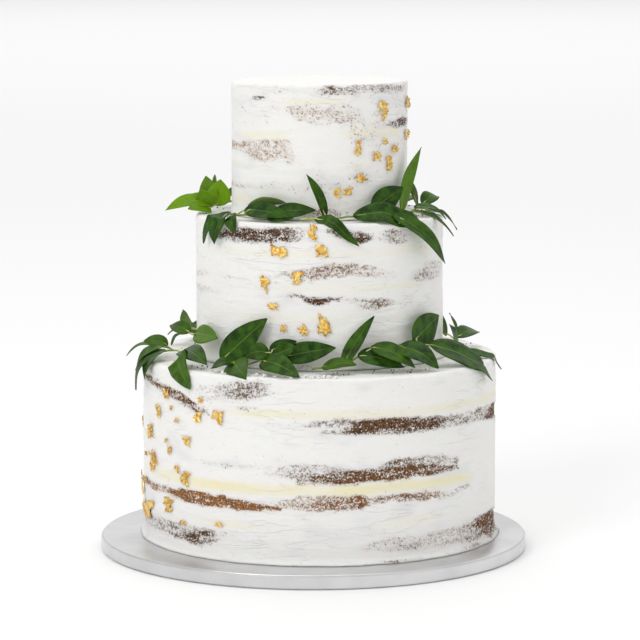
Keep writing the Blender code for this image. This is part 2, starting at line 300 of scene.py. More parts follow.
@dataclass(frozen=True)
class Scrape:
    """A place where the scraper has gone through to the sponge.

    Attributes:
        run: Points of (bearing, lowest height, highest height, how bare), left to right.
        warm: From dark chocolate (0) to golden brown (1).
        soft: Width of its worn border in millimetres.
        tear: How far noise moves the border, in millimetres.
        past_ends: How far it runs on past its first and last points, in millimetres.
    """

    run: tuple[tuple[float, float, float, float], ...]
    warm: float = 0.3
    soft: float = 1.6
    tear: float = 1.7
    past_ends: float = 2.5

    def bare(self, bearing: np.ndarray, height: np.ndarray, radius: float,
             ragged: np.ndarray) -> np.ndarray:
        """Give how bare each point of the wall is because of this place.

        Args:
            bearing: Bearings in degrees.
            height: Heights in millimetres.
            radius: The wall's radius in millimetres.
            ragged: Noise from -1 to 1 that tears the border.

        Returns:
            Values from 0 to 1.
        """
        turns, lows, highs, amounts = (np.array(column) for column in zip(*self.run))
        local = bearing + np.where(bearing < turns[0] - 90, 360.0, 0.0)
        low = np.interp(local, turns, lows)
        high = np.interp(local, turns, highs)
        amount = np.interp(local, turns, amounts)
        per_degree = math.pi * radius / 180
        beyond = np.maximum(turns[0] - local, local - turns[-1]) * per_degree
        inside = np.minimum(np.minimum(height - low, high - height), self.past_ends - beyond)
        return amount * smoothstep(-self.soft, self.soft, inside + ragged * self.tear)


@dataclass(frozen=True)
class CreamBand:
    """A pale yellow band where a filling shows through the thin coat.

    Attributes:
        start: Its first bearing in degrees.
        end: Its last bearing in degrees.
        height: The height of its middle in millimetres.
        half: Half its width in millimetres.
        strength: How strongly it tints the frosting, from 0 to 1.
    """

    start: float
    end: float
    height: float
    half: float
    strength: float

    def tint(self, bearing: np.ndarray, height: np.ndarray) -> np.ndarray:
        """Give how strongly the band tints each point of the wall.

        Args:
            bearing: Bearings in degrees.
            height: Heights in millimetres.

        Returns:
            Values from 0 to the band's strength.
        """
        local = bearing + np.where(bearing < self.start - 60, 360.0, 0.0)
        ends = smoothstep(self.start - 5, self.start + 9, local) * (
            1 - smoothstep(self.end - 9, self.end + 5, local))
        off = np.abs(height - self.height) / self.half
        return self.strength * ends * np.exp(-off ** 4)


@dataclass(frozen=True)
class Lip:
    """A thick roll of frosting pushed over a tier's top edge.

    Attributes:
        start: Its first bearing in degrees.
        end: Its last bearing in degrees.
        drop: How far below the top it lies, in millimetres.
        height: Its height in millimetres.
        proud: How far it stands out, in millimetres.
    """

    start: float
    end: float
    drop: float
    height: float
    proud: float

    def push(self, bearing: np.ndarray, below_top: np.ndarray) -> np.ndarray:
        """Give how far the roll stands out, in millimetres.

        Args:
            bearing: Bearings in degrees.
            below_top: Depths below the tier's top in millimetres.

        Returns:
            Millimetres outwards.
        """
        ends = smoothstep(self.start - 3, self.start + 4, bearing) * (
            1 - smoothstep(self.end - 4, self.end + 3, bearing))
        return self.proud * ends * np.exp(-((below_top - self.drop) / self.height) ** 2)


@dataclass(frozen=True)
class WallPattern:
    """All that a tier's wall shows: bare places, bands, lips and stray crumbs."""

    seed: int
    scrapes: tuple[Scrape, ...]
    bands: tuple[CreamBand, ...]
    lips: tuple[Lip, ...] = ()
    specks: float = 0.1
    gain: float = 1.0


@dataclass
class WallFields:
    """Numbers per vertex that shape and colour a wall."""

    bare: np.ndarray
    warm: np.ndarray
    cream: np.ndarray
    smudge: np.ndarray


class Wall:
    """One tier's wall as fields over bearing and height, shared by its coat and its layers."""

    def __init__(self, tier: TierFrame, pattern: WallPattern) -> None:
        """Keep the tier and its pattern, and set up its noise.

        Args:
            tier: The tier's place and size.
            pattern: What its wall shows.
        """
        self.tier = tier
        self.pattern = pattern
        self.noise = WallNoise(pattern.seed, 2 * math.pi * tier.radius)

    def fields(self, bearing: np.ndarray, reach: np.ndarray, height: np.ndarray) -> WallFields:
        """Work out the fields at points of the wall or of the tier's top.

        Args:
            bearing: Bearings in degrees.
            reach: Distances from the axis in millimetres.
            height: Heights in millimetres.

        Returns:
            The fields, one number per point each.
        """
        noise = self.noise
        ragged = noise.rough(bearing, height, 7.0, 2.6, 10)
        torn = noise.rough(bearing, height, 17.0, 3.0, 20)
        bare = np.zeros_like(bearing)
        near = np.zeros_like(bearing)
        warm = np.zeros_like(bearing)
        weight = np.full_like(bearing, 1e-4)
        for scrape in self.pattern.scrapes:
            here = scrape.bare(bearing, height, self.tier.radius, ragged * 0.7 + torn * 0.6)
            wide = Scrape(scrape.run, scrape.warm, 7.0).bare(
                bearing, height, self.tier.radius, torn * 2.2)
            bare = np.maximum(bare, here)
            near = np.maximum(near, wide)
            warm += (here + wide * 0.3) * scrape.warm
            weight += here + wide * 0.3
        on_wall = smoothstep(self.tier.radius - 9, self.tier.radius - 2.5, reach)
        bare = bare * self.pattern.gain * np.clip(0.92 + 0.45 * torn, 0, 1.12) * on_wall
        cream = np.zeros_like(bearing)
        waver = 1.5 * noise.rough(bearing, height, 30, 30, 80)
        for band in self.pattern.bands:
            cream = np.maximum(cream, band.tint(bearing, height + waver))
        patchy = np.clip(0.75 + 0.6 * noise.rough(bearing, height, 34.0, 7.0, 30), 0, 1)
        clouds = noise.rough(bearing, height, 30.0, 11.0, 40)
        smudge = np.clip(0.42 * near + 0.5 * smoothstep(0.15, 0.75, clouds), 0, 1)
        stray = self.pattern.specks * smoothstep(0.1, 0.7, noise.rough(bearing, height, 26, 12, 50))
        bare = np.maximum(bare, np.maximum(stray, near * 0.26) * on_wall)
        return WallFields(
            bare=np.clip(bare, 0, 1), warm=warm / weight, cream=cream * patchy * on_wall,
            smudge=smudge * (1 - 0.6 * cream) * on_wall,
        )

    def store(self, mesh: bpy.types.Mesh, fields: WallFields) -> None:
        """Store the fields on a mesh for its material.

        Args:
            mesh: The mesh.
            fields: Its fields, one number per vertex each.
        """
        write_field(mesh, "bare", fields.bare)
        write_field(mesh, "warm", fields.warm)
        write_field(mesh, "cream", fields.cream)
        write_field(mesh, "smudge", fields.smudge)


@dataclass
class Coat:
    """The scraped frosting over one tier, modelled from a cylinder whose wall is cut into rows."""

    wall: Wall
    cell: float = 1.3
    top_rings: int = 12
    arc_rows: int = 5
    dip: float = 1.9
    feature: float = 0.16

    def profile(self) -> np.ndarray:
        """Give the outline's points of (reach, height) from the foot to near the centre of the top.

        Returns:
            One row per ring.
        """
        tier = self.wall.tier
        rows = round((tier.top - EDGE_ROUND - tier.base) / self.cell)
        heights = np.linspace(tier.base, tier.top - EDGE_ROUND, rows)
        outline = [(tier.radius, height) for height in heights]
        for step in range(1, self.arc_rows + 1):
            turn = math.pi / 2 * step / self.arc_rows
            outline.append((
                tier.radius - EDGE_ROUND + EDGE_ROUND * math.cos(turn),
                tier.top - EDGE_ROUND + EDGE_ROUND * math.sin(turn),
            ))
        inner = tier.radius - EDGE_ROUND
        for step in range(1, self.top_rings + 1):
            outline.append((inner * (1 - (step / self.top_rings) ** 1.25) + 1.5, tier.top))
        return np.array(outline)

    def build(self) -> bpy.types.Object:
        """Model the coat.

        Returns:
            The finished coat.
        """
        tier = self.wall.tier
        outline = self.profile()
        columns = round(2 * math.pi * tier.radius / self.cell)
        bpy.ops.mesh.primitive_cylinder_add(
            vertices=columns, radius=1.0, depth=1.0, end_fill_type="NGON", location=(0, 0, 0.5),
        )
        coat = bpy.context.object
        coat.name = f"{tier.name}_frosting"
        settle(coat)
        cut_wall(coat, len(outline) - 2)
        points = read_points(coat.data)
        row = np.rint(points[:, 2] * (len(outline) - 1)).astype(int)
        bearing = np.degrees(np.arctan2(points[:, 0], -points[:, 1]))
        reach = outline[row, 0]
        height = outline[row, 1]
        fields = self.wall.fields(bearing, reach, height)
        reach, height = self.relief(bearing, reach, height, fields)
        write_points(coat.data, tier.place(bearing, reach, height))
        self.wall.store(coat.data, fields)
        coat.data.shade_smooth()
        return coat

    def relief(self, bearing: np.ndarray, reach: np.ndarray, height: np.ndarray,
               fields: WallFields) -> tuple[np.ndarray, np.ndarray]:
        """Move the plain outline into scraped, uneven frosting.

        Args:
            bearing: Bearings in degrees.
            reach: The outline's distances from the axis in millimetres.
            height: The outline's heights in millimetres.
            fields: The wall's fields at these points.

        Returns:
            The new reaches and heights.
        """
        tier = self.wall.tier
        noise = self.wall.noise
        below = tier.top - height
        ripple = noise.layer(bearing, height, 46, 2.1, 60) * 0.11
        ripple += noise.layer(bearing, height, 22, 4.4, 61) * 0.13
        ripple += noise.rough(bearing, height, 9, 4, 62) * 0.13
        drift = noise.layer(bearing, height, 75, 40, 63) * 0.35
        ridge = self.feature * np.exp(-((fields.bare - 0.3) / 0.14) ** 2)
        sunk = self.dip * smoothstep(0.6, 0.86, fields.bare + 0.12 * noise.layer(bearing, height, 3, 2, 64))
        out = drift + ripple + ridge - sunk
        out += np.exp(-(below / 5.0) ** 2) * (
            noise.rough(bearing, height, 8, 3.0, 67) * 1.0 + noise.layer(bearing, height, 31, 9, 68) * 0.6)
        for lip in self.wall.pattern.lips:
            out = out + lip.push(bearing, below) * (1 + 0.35 * noise.layer(bearing, height, 9, 30, 65))
        foot = height - tier.base
        spread = 2.0 + 0.9 * noise.rough(bearing, height * 0, 14, 14, 69)
        flare = FOOT_FLARE * smoothstep(7, 0, foot) + spread * np.clip(1 - foot / 3.2, 0, 1) ** 2
        arc_reach = np.clip(reach - (tier.radius - EDGE_ROUND), 0, EDGE_ROUND)
        arc_height = np.clip(height - (tier.top - EDGE_ROUND), 0, EDGE_ROUND)
        length = np.maximum(np.hypot(arc_reach, arc_height), 1e-6)
        on_arc = (arc_height > 0) & (reach > tier.radius - EDGE_ROUND - 1e-6)
        along_reach = np.where(on_arc, arc_reach / length, 1.0)
        along_height = np.where(on_arc, arc_height / length, 0.0)
        flat = (arc_height >= EDGE_ROUND - 1e-6) & (reach <= tier.radius - EDGE_ROUND + 1e-6)
        east = reach * np.sin(np.radians(bearing))
        north = reach * np.cos(np.radians(bearing))
        top_wave = -0.3 + 0.35 * noise.rough(east / noise.girth * 360, north + 180, 26, 26, 66)
        new_reach = np.where(flat, reach, reach + (out + flare) * along_reach)
        new_height = np.where(flat, height + np.minimum(top_wave, 0), height + out * along_height)
        return new_reach, np.minimum(new_height, tier.top)


def cut_wall(cylinder: bpy.types.Object, cuts: int) -> None:
    """Cut a cylinder's upright edges into equal lengths, which cuts its wall into rows.

    Args:
        cylinder: A cylinder from z = 0 to z = 1.
        cuts: The number of cuts along each upright edge.
    """
    only(cylinder)
    bpy.ops.object.mode_set(mode="EDIT")
    shell = bmesh.from_edit_mesh(cylinder.data)
    for vertex in shell.verts:
        vertex.select = False
    for edge in shell.edges:
        edge.select = abs(edge.verts[0].co.z - edge.verts[1].co.z) > 0.5
    bmesh.update_edit_mesh(cylinder.data)
    bpy.ops.mesh.select_mode(type="EDGE")
    bpy.ops.mesh.subdivide(number_cuts=cuts)
    bpy.ops.object.mode_set(mode="OBJECT")


@dataclass
class Layer:
    """One sponge or filling, a disc whose rim has the crumb's relief."""

    wall: Wall
    node: str
    is_sponge: bool
    cell: float = 1.6
    behind: float = 1.05

    def build(self) -> bpy.types.Object:
        """Model the layer between its packed faces.

        Returns:
            The finished layer.
        """
        tier = self.wall.tier
        low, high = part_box(self.node)
        columns = round(2 * math.pi * tier.radius / self.cell)
        bpy.ops.mesh.primitive_cylinder_add(
            vertices=columns, radius=1.0, depth=1.0, end_fill_type="NGON", location=(0, 0, 0.5),
        )
        disc = bpy.context.object
        disc.name = f"{self.node}_crumb" if self.is_sponge else f"{self.node}_cream"
        settle(disc)
        tall = (high.z - low.z) / MM
        cut_wall(disc, max(1, round(tall / self.cell) - 1))
        points = read_points(disc.data)
        bearing = np.degrees(np.arctan2(points[:, 0], -points[:, 1]))
        height = low.z / MM + points[:, 2] * tall
        noise = self.wall.noise
        reach = np.full_like(bearing, tier.radius - self.behind)
        reach += noise.layer(bearing, height, 75, 40, 63) * 0.35
        if self.is_sponge:
            reach += noise.rough(bearing, height, 3.6, 3.0, 70) * 0.42
        fields = self.wall.fields(bearing, np.full_like(bearing, tier.radius), height)
        write_points(disc.data, tier.place(bearing, reach, height))
        self.wall.store(disc.data, fields)
        disc.data.shade_smooth()
        return disc


# --------------------------------------------------------------------------- finishes


class Nodes:
    """A material being made: adds nodes and joins them."""

    def __init__(self, name: str) -> None:
        """Start a material with a Principled shader.

        Args:
            name: The material's name.
        """
        self.material = bpy.data.materials.new(name)
        self.material.use_nodes = True
        self.tree = self.material.node_tree
        self.shader = self.tree.nodes["Principled BSDF"]

    def add(self, kind: str, **settings: float | str | bool) -> bpy.types.ShaderNode:
        """Add a node of a kind and set its properties.

        Args:
            kind: The node's type.
            **settings: Its properties by name.

        Returns:
            The node.
        """
        node = self.tree.nodes.new(kind)
        for name, value in settings.items():
            setattr(node, name, value)
        return node

    def link(self, source: bpy.types.NodeSocket, target: bpy.types.NodeSocket) -> None:
        """Join two sockets."""
        self.tree.links.new(source, target)

    def field(self, name: str) -> bpy.types.NodeSocket:
        """Read a number that the mesh stores per vertex."""
        return self.add("ShaderNodeAttribute", attribute_name=name).outputs["Fac"]

    def noise(self, scale: float, detail: float = 2.0, roughness: float = 0.5,
              stretch: tuple[float, float, float] = (1.0, 1.0, 1.0),
              shift: float = 0.0) -> bpy.types.NodeSocket:
        """Add solid noise on the object's own coordinates.

        Args:
            scale: Cells to the metre.
            detail: Octaves.
            roughness: Strength of the finer octaves.
            stretch: Squeeze of the pattern along each axis.
            shift: Moves the pattern, for an independent one.

        Returns:
            The noise, from 0 to 1.
        """
        place = self.add("ShaderNodeTexCoord").outputs["Object"]
        mapping = self.add("ShaderNodeMapping")
        mapping.inputs["Scale"].default_value = stretch
        mapping.inputs["Location"].default_value = (shift, shift, shift)
        self.link(place, mapping.inputs["Vector"])
        texture = self.add("ShaderNodeTexNoise")
        texture.inputs["Scale"].default_value = scale
        texture.inputs["Detail"].default_value = detail
        texture.inputs["Roughness"].default_value = roughness
        self.link(mapping.outputs["Vector"], texture.inputs["Vector"])
        return texture.outputs["Fac"]

    def grains(self, scale: float) -> bpy.types.NodeSocket:
        """Add small cells on the object's own coordinates, each with a shade of its own.

        Args:
            scale: Cells to the metre.

        Returns:
            The shade, from 0 to 1.
        """
        texture = self.add("ShaderNodeTexVoronoi")
        texture.inputs["Scale"].default_value = scale
        self.link(self.add("ShaderNodeTexCoord").outputs["Object"], texture.inputs["Vector"])
        return texture.outputs["Color"]

    def math(self, operation: str, first: bpy.types.NodeSocket | float,
             second: bpy.types.NodeSocket | float = 0.0) -> bpy.types.NodeSocket:
        """Add arithmetic on two values.

        Args:
            operation: What is worked out.
            first: The first value or socket.
            second: The second value or socket.

        Returns:
            The result.
        """
        node = self.add("ShaderNodeMath", operation=operation)
        for value, socket in zip((first, second), node.inputs):
            if isinstance(value, (int, float)):
                socket.default_value = value
            else:
                self.link(value, socket)
        return node.outputs["Value"]

    def ease(self, value: bpy.types.NodeSocket, low: bpy.types.NodeSocket | float,
             high: bpy.types.NodeSocket | float) -> bpy.types.NodeSocket:
        """Ease from 0 at low to 1 at high.

        Args:
            value: What is eased.
            low: Where the result is 0.
            high: Where it is 1.

        Returns:
            The result, from 0 to 1.
        """
        node = self.add("ShaderNodeMapRange", interpolation_type="SMOOTHSTEP")
        self.link(value, node.inputs["Value"])
        for edge, name in ((low, "From Min"), (high, "From Max")):
            if isinstance(edge, (int, float)):
                node.inputs[name].default_value = edge
            else:
                self.link(edge, node.inputs[name])
        return node.outputs["Result"]

    def mix(self, part: bpy.types.NodeSocket, first: bpy.types.NodeSocket | Sequence[float],
            second: bpy.types.NodeSocket | Sequence[float]) -> bpy.types.NodeSocket:
        """Mix two colours by a part.

        Args:
            part: How much of the second colour there is.
            first: A colour or a socket.
            second: A colour or a socket.

        Returns:
            The mixed colour.
        """
        node = self.add("ShaderNodeMix", data_type="RGBA")
        self.link(part, node.inputs["Factor"])
        for colour, socket in ((first, node.inputs[6]), (second, node.inputs[7])):
            if isinstance(colour, bpy.types.NodeSocket):
                self.link(colour, socket)
            else:
                socket.default_value = colour
        return node.outputs[2]

    def bump(self, height: bpy.types.NodeSocket, distance: float, strength: float = 1.0,
             below: bpy.types.NodeSocket | None = None) -> bpy.types.NodeSocket:
        """Add a bump of a height in metres, over another where given.

        Args:
            height: The height's pattern.
            distance: The height of 1 in metres.
            strength: How strongly it shades.
            below: The normal that it lies on.

        Returns:
            The new normal.
        """
        node = self.add("ShaderNodeBump")
        node.inputs["Distance"].default_value = distance
        node.inputs["Strength"].default_value = strength
        self.link(height, node.inputs["Height"])
        if below is not None:
            self.link(below, node.inputs["Normal"])
        return node.outputs["Normal"]

    def constant(self, **values: float) -> None:
        """Set the shader's own sockets, with _ for the spaces in their names."""
        for name, value in values.items():
            self.shader.inputs[name.replace("_", " ")].default_value = value


@dataclass(frozen=True)
class ScrapedFinish:
    """White frosting over brown crumb, split by how bare each place is."""

    white: tuple[float, ...] = linear(243, 242, 239)
    cool: tuple[float, ...] = linear(222, 222, 226)
    cream: tuple[float, ...] = linear(240, 233, 196)
    dark: tuple[float, ...] = linear(44, 28, 20)
    brown: tuple[float, ...] = linear(104, 76, 52)
    golden: tuple[float, ...] = linear(172, 112, 58)
    tan: tuple[float, ...] = linear(206, 168, 124)
    ash: tuple[float, ...] = linear(172, 160, 150)

    def make(self, name: str) -> bpy.types.Material:
        """Make the material.

        Args:
            name: Its name.

        Returns:
            The material.
        """
        nodes = Nodes(name)
        bare = nodes.field("bare")
        warm = nodes.field("warm")
        fine = nodes.noise(1450, 2.0, 0.55)
        coarse = nodes.noise(300, 2.0, 0.5, (1.0, 1.0, 1.9), 3.0)
        grain = nodes.math("ADD", nodes.math("MULTIPLY", fine, 0.36), nodes.math("MULTIPLY", coarse, 0.28))
        grain = nodes.math("ADD", grain, nodes.math("MULTIPLY", nodes.grains(1050), 0.36))
        through = nodes.math("POWER", bare, 1.35)
        gate = nodes.math("SUBTRACT", 0.72, nodes.math("MULTIPLY", through, 0.36))
        mask = nodes.ease(grain, nodes.math("SUBTRACT", gate, 0.03), nodes.math("ADD", gate, 0.05))
        shade = nodes.noise(760, 2.0, 0.6, shift=7.0)
        crumb = nodes.mix(nodes.ease(shade, 0.38, 0.62), self.dark, self.brown)
        toasted = nodes.mix(nodes.ease(shade, 0.36, 0.64), self.brown, self.golden)
        brown = nodes.mix(warm, crumb, toasted)
        grey = nodes.mix(nodes.field("smudge"), self.white, self.cool)
        frosting = nodes.mix(nodes.field("cream"), grey, self.cream)
        wash = nodes.mix(warm, self.ash, self.tan)
        film = nodes.math("MULTIPLY", nodes.ease(bare, 0.1, 0.9), nodes.ease(coarse, 0.25, 0.65))
        veiled = nodes.mix(nodes.math("MULTIPLY", film, 0.62), frosting, wash)
        depth = nodes.math("ADD", nodes.math("MULTIPLY", nodes.ease(through, 0.35, 0.85), 0.42), 0.58)
        surface = nodes.mix(nodes.math("MULTIPLY", mask, depth), veiled, brown)
        nodes.link(surface, nodes.shader.inputs["Base Color"])
        rough = nodes.math("ADD", nodes.math("MULTIPLY", mask, 0.28), 0.54)
        nodes.link(rough, nodes.shader.inputs["Roughness"])
        streaks = nodes.noise(42, 3.0, 0.5, (1.0, 1.0, 5.5), 5.0)
        soft = nodes.noise(260, 3.0, 0.55, (1.0, 1.0, 2.4), 9.0)
        drag = nodes.noise(26, 2.0, 0.5, (1.0, 1.0, 5.0), 13.0)
        line = nodes.ease(nodes.math("ABSOLUTE", nodes.math("SUBTRACT", drag, 0.5)), 0.022, 0.0)
        worn = nodes.ease(nodes.noise(18, 2.0, 0.5, (1.0, 1.0, 2.0), 17.0), 0.45, 0.62)
        lie = nodes.bump(nodes.math("MULTIPLY", line, worn), 0.0006, 0.6)
        lie = nodes.bump(streaks, 0.0013, 0.6, lie)
        lie = nodes.bump(soft, 0.0004, 0.5, lie)
        lie = nodes.bump(nodes.math("SUBTRACT", 1.0, mask), 0.0004, 0.7, lie)
        nodes.link(lie, nodes.shader.inputs["Normal"])
        nodes.constant(Subsurface_Weight=0.1, Subsurface_Scale=0.002, Specular_IOR_Level=0.3)
        return nodes.material


@dataclass(frozen=True)
class FoilFinish:
    """Silver board foil with a soft, slightly crinkled sheen."""

    colour: tuple[float, ...] = linear(208, 208, 209)
    roughness: float = 0.34

    def make(self, name: str) -> bpy.types.Material:
        """Make the material.

        Args:
            name: Its name.

        Returns:
            The material.
        """
        nodes = Nodes(name)
        grain = nodes.noise(420, 3.0, 0.6)
        clouds = nodes.noise(26, 2.0, 0.5, shift=2.0)
        tone = nodes.mix(nodes.ease(clouds, 0.3, 0.7), self.colour, linear(222, 222, 223))
        nodes.link(tone, nodes.shader.inputs["Base Color"])
        rough = nodes.math("ADD", nodes.math("MULTIPLY", grain, 0.14), self.roughness - 0.06)
        nodes.link(rough, nodes.shader.inputs["Roughness"])
        lie = nodes.bump(grain, 0.0002, 0.35)
        lie = nodes.bump(nodes.noise(90, 2.0, 0.5, shift=4.0), 0.0006, 0.25, lie)
        nodes.link(lie, nodes.shader.inputs["Normal"])
        nodes.constant(Metallic=0.85)
        return nodes.material


class LeafSide(Enum):
    """The two faces of a leaf."""

    UPPER = "upper"
    UNDER = "under"


@dataclass(frozen=True)
class LeafFinish:
    """A waxy ruscus leaf, from dark green to yellow-green by leaf, with fine long veins; the yellow-green of
    the backlit left cluster is painted light.
    """

    side: LeafSide
    deep: tuple[float, ...] = linear(22, 48, 6)
    fresh: tuple[float, ...] = linear(54, 94, 16)
    # Yellow-green: the own tint of the lighter leaves, and painted light shining through the backlit left
    # cluster.
    lime_and_backlight: tuple[float, ...] = linear(112, 156, 12)
    pale: tuple[float, ...] = linear(112, 138, 74)
    rib: tuple[float, ...] = linear(112, 140, 58)

    def make(self, name: str) -> bpy.types.Material:
        """Make the material.

        Args:
            name: Its name.

        Returns:
            The material.
        """
        nodes = Nodes(name)
        blade = nodes.add("ShaderNodeUVMap", uv_map="blade").outputs["UV"]
        split = nodes.add("ShaderNodeSeparateXYZ")
        nodes.link(blade, split.inputs["Vector"])
        across = split.outputs["X"]
        tint = nodes.field("tint")
        mottle = nodes.ease(nodes.noise(160, 3.0, 0.55), 0.3, 0.7)
        green = nodes.mix(mottle, self.deep, self.fresh)
        # Mix towards yellow-green by each leaf's tint; where the tint is high, as on the left cluster, this
        # is painted light shining through the leaf.
        green = nodes.mix(tint, green, self.lime_and_backlight)
        if self.side is LeafSide.UNDER:
            part = nodes.math("ADD", nodes.math("MULTIPLY", mottle, 0.2), 0.55)
            green = nodes.mix(part, green, self.pale)
        centre = nodes.math("ABSOLUTE", nodes.math("SUBTRACT", across, 0.5))
        rib = nodes.ease(centre, 0.035, 0.008)
        nodes.link(
            nodes.mix(nodes.math("MULTIPLY", rib, 0.45), green, self.rib),
            nodes.shader.inputs["Base Color"],
        )
        wave = nodes.math("SINE", nodes.math("MULTIPLY", across, 70.0))
        lie = nodes.bump(wave, 0.00012, 0.5)
        lie = nodes.bump(rib, 0.0003, 0.7, lie)
        nodes.link(lie, nodes.shader.inputs["Normal"])
        rough = nodes.math("ADD", nodes.math("MULTIPLY", mottle, 0.12),
                           0.28 if self.side is LeafSide.UPPER else 0.5)
        nodes.link(rough, nodes.shader.inputs["Roughness"])
        nodes.constant(Subsurface_Weight=0.05, Subsurface_Scale=0.001, Specular_IOR_Level=0.16)
        return nodes.material


@dataclass(frozen=True)
class StemFinish:
    """Young green stem, yellower in its joints."""

    colour: tuple[float, ...] = linear(118, 142, 54)
    pale: tuple[float, ...] = linear(196, 206, 124)

    def make(self, name: str) -> bpy.types.Material:
        """Make the material.

        Args:
            name: Its name.

        Returns:
            The material.
        """
        nodes = Nodes(name)
        part = nodes.ease(nodes.noise(60, 2.0, 0.5), 0.4, 0.62)
        nodes.link(nodes.mix(part, self.colour, self.pale), nodes.shader.inputs["Base Color"])
        nodes.link(nodes.bump(nodes.noise(800, 2.0, 0.5), 0.0002, 0.4), nodes.shader.inputs["Normal"])
        nodes.constant(Roughness=0.45)
        return nodes.material


@dataclass(frozen=True)
class GoldFinish:
    """Crumpled edible gold leaf."""

    bright: tuple[float, ...] = linear(255, 234, 150)
    deep: tuple[float, ...] = linear(230, 158, 40)

    def make(self, name: str) -> bpy.types.Material:
        """Make the material.

        Args:
            name: Its name.

        Returns:
            The material.
        """
        nodes = Nodes(name)
        part = nodes.ease(nodes.noise(420, 3.0, 0.6), 0.35, 0.65)
        nodes.link(nodes.mix(part, self.deep, self.bright), nodes.shader.inputs["Base Color"])
        nodes.link(nodes.bump(nodes.noise(900, 3.0, 0.6), 0.0006, 0.6), nodes.shader.inputs["Normal"])
        nodes.constant(Metallic=1.0, Roughness=0.3)
        return nodes.material


@dataclass(frozen=True)
class CrumbFinish:
    """Loose crumbs of one colour with a little variation."""

    light: tuple[float, ...]
    dark: tuple[float, ...]

    def make(self, name: str) -> bpy.types.Material:
        """Make the material.

        Args:
            name: Its name.

        Returns:
            The material.
        """
        nodes = Nodes(name)
        part = nodes.ease(nodes.noise(500, 2.0, 0.5), 0.35, 0.65)
        nodes.link(nodes.mix(part, self.dark, self.light), nodes.shader.inputs["Base Color"])
        nodes.link(nodes.bump(nodes.noise(1500, 2.0, 0.5), 0.0003, 0.6), nodes.shader.inputs["Normal"])
        nodes.constant(Roughness=0.75)
        return nodes.material


# --------------------------------------------------------------------------- what each wall shows

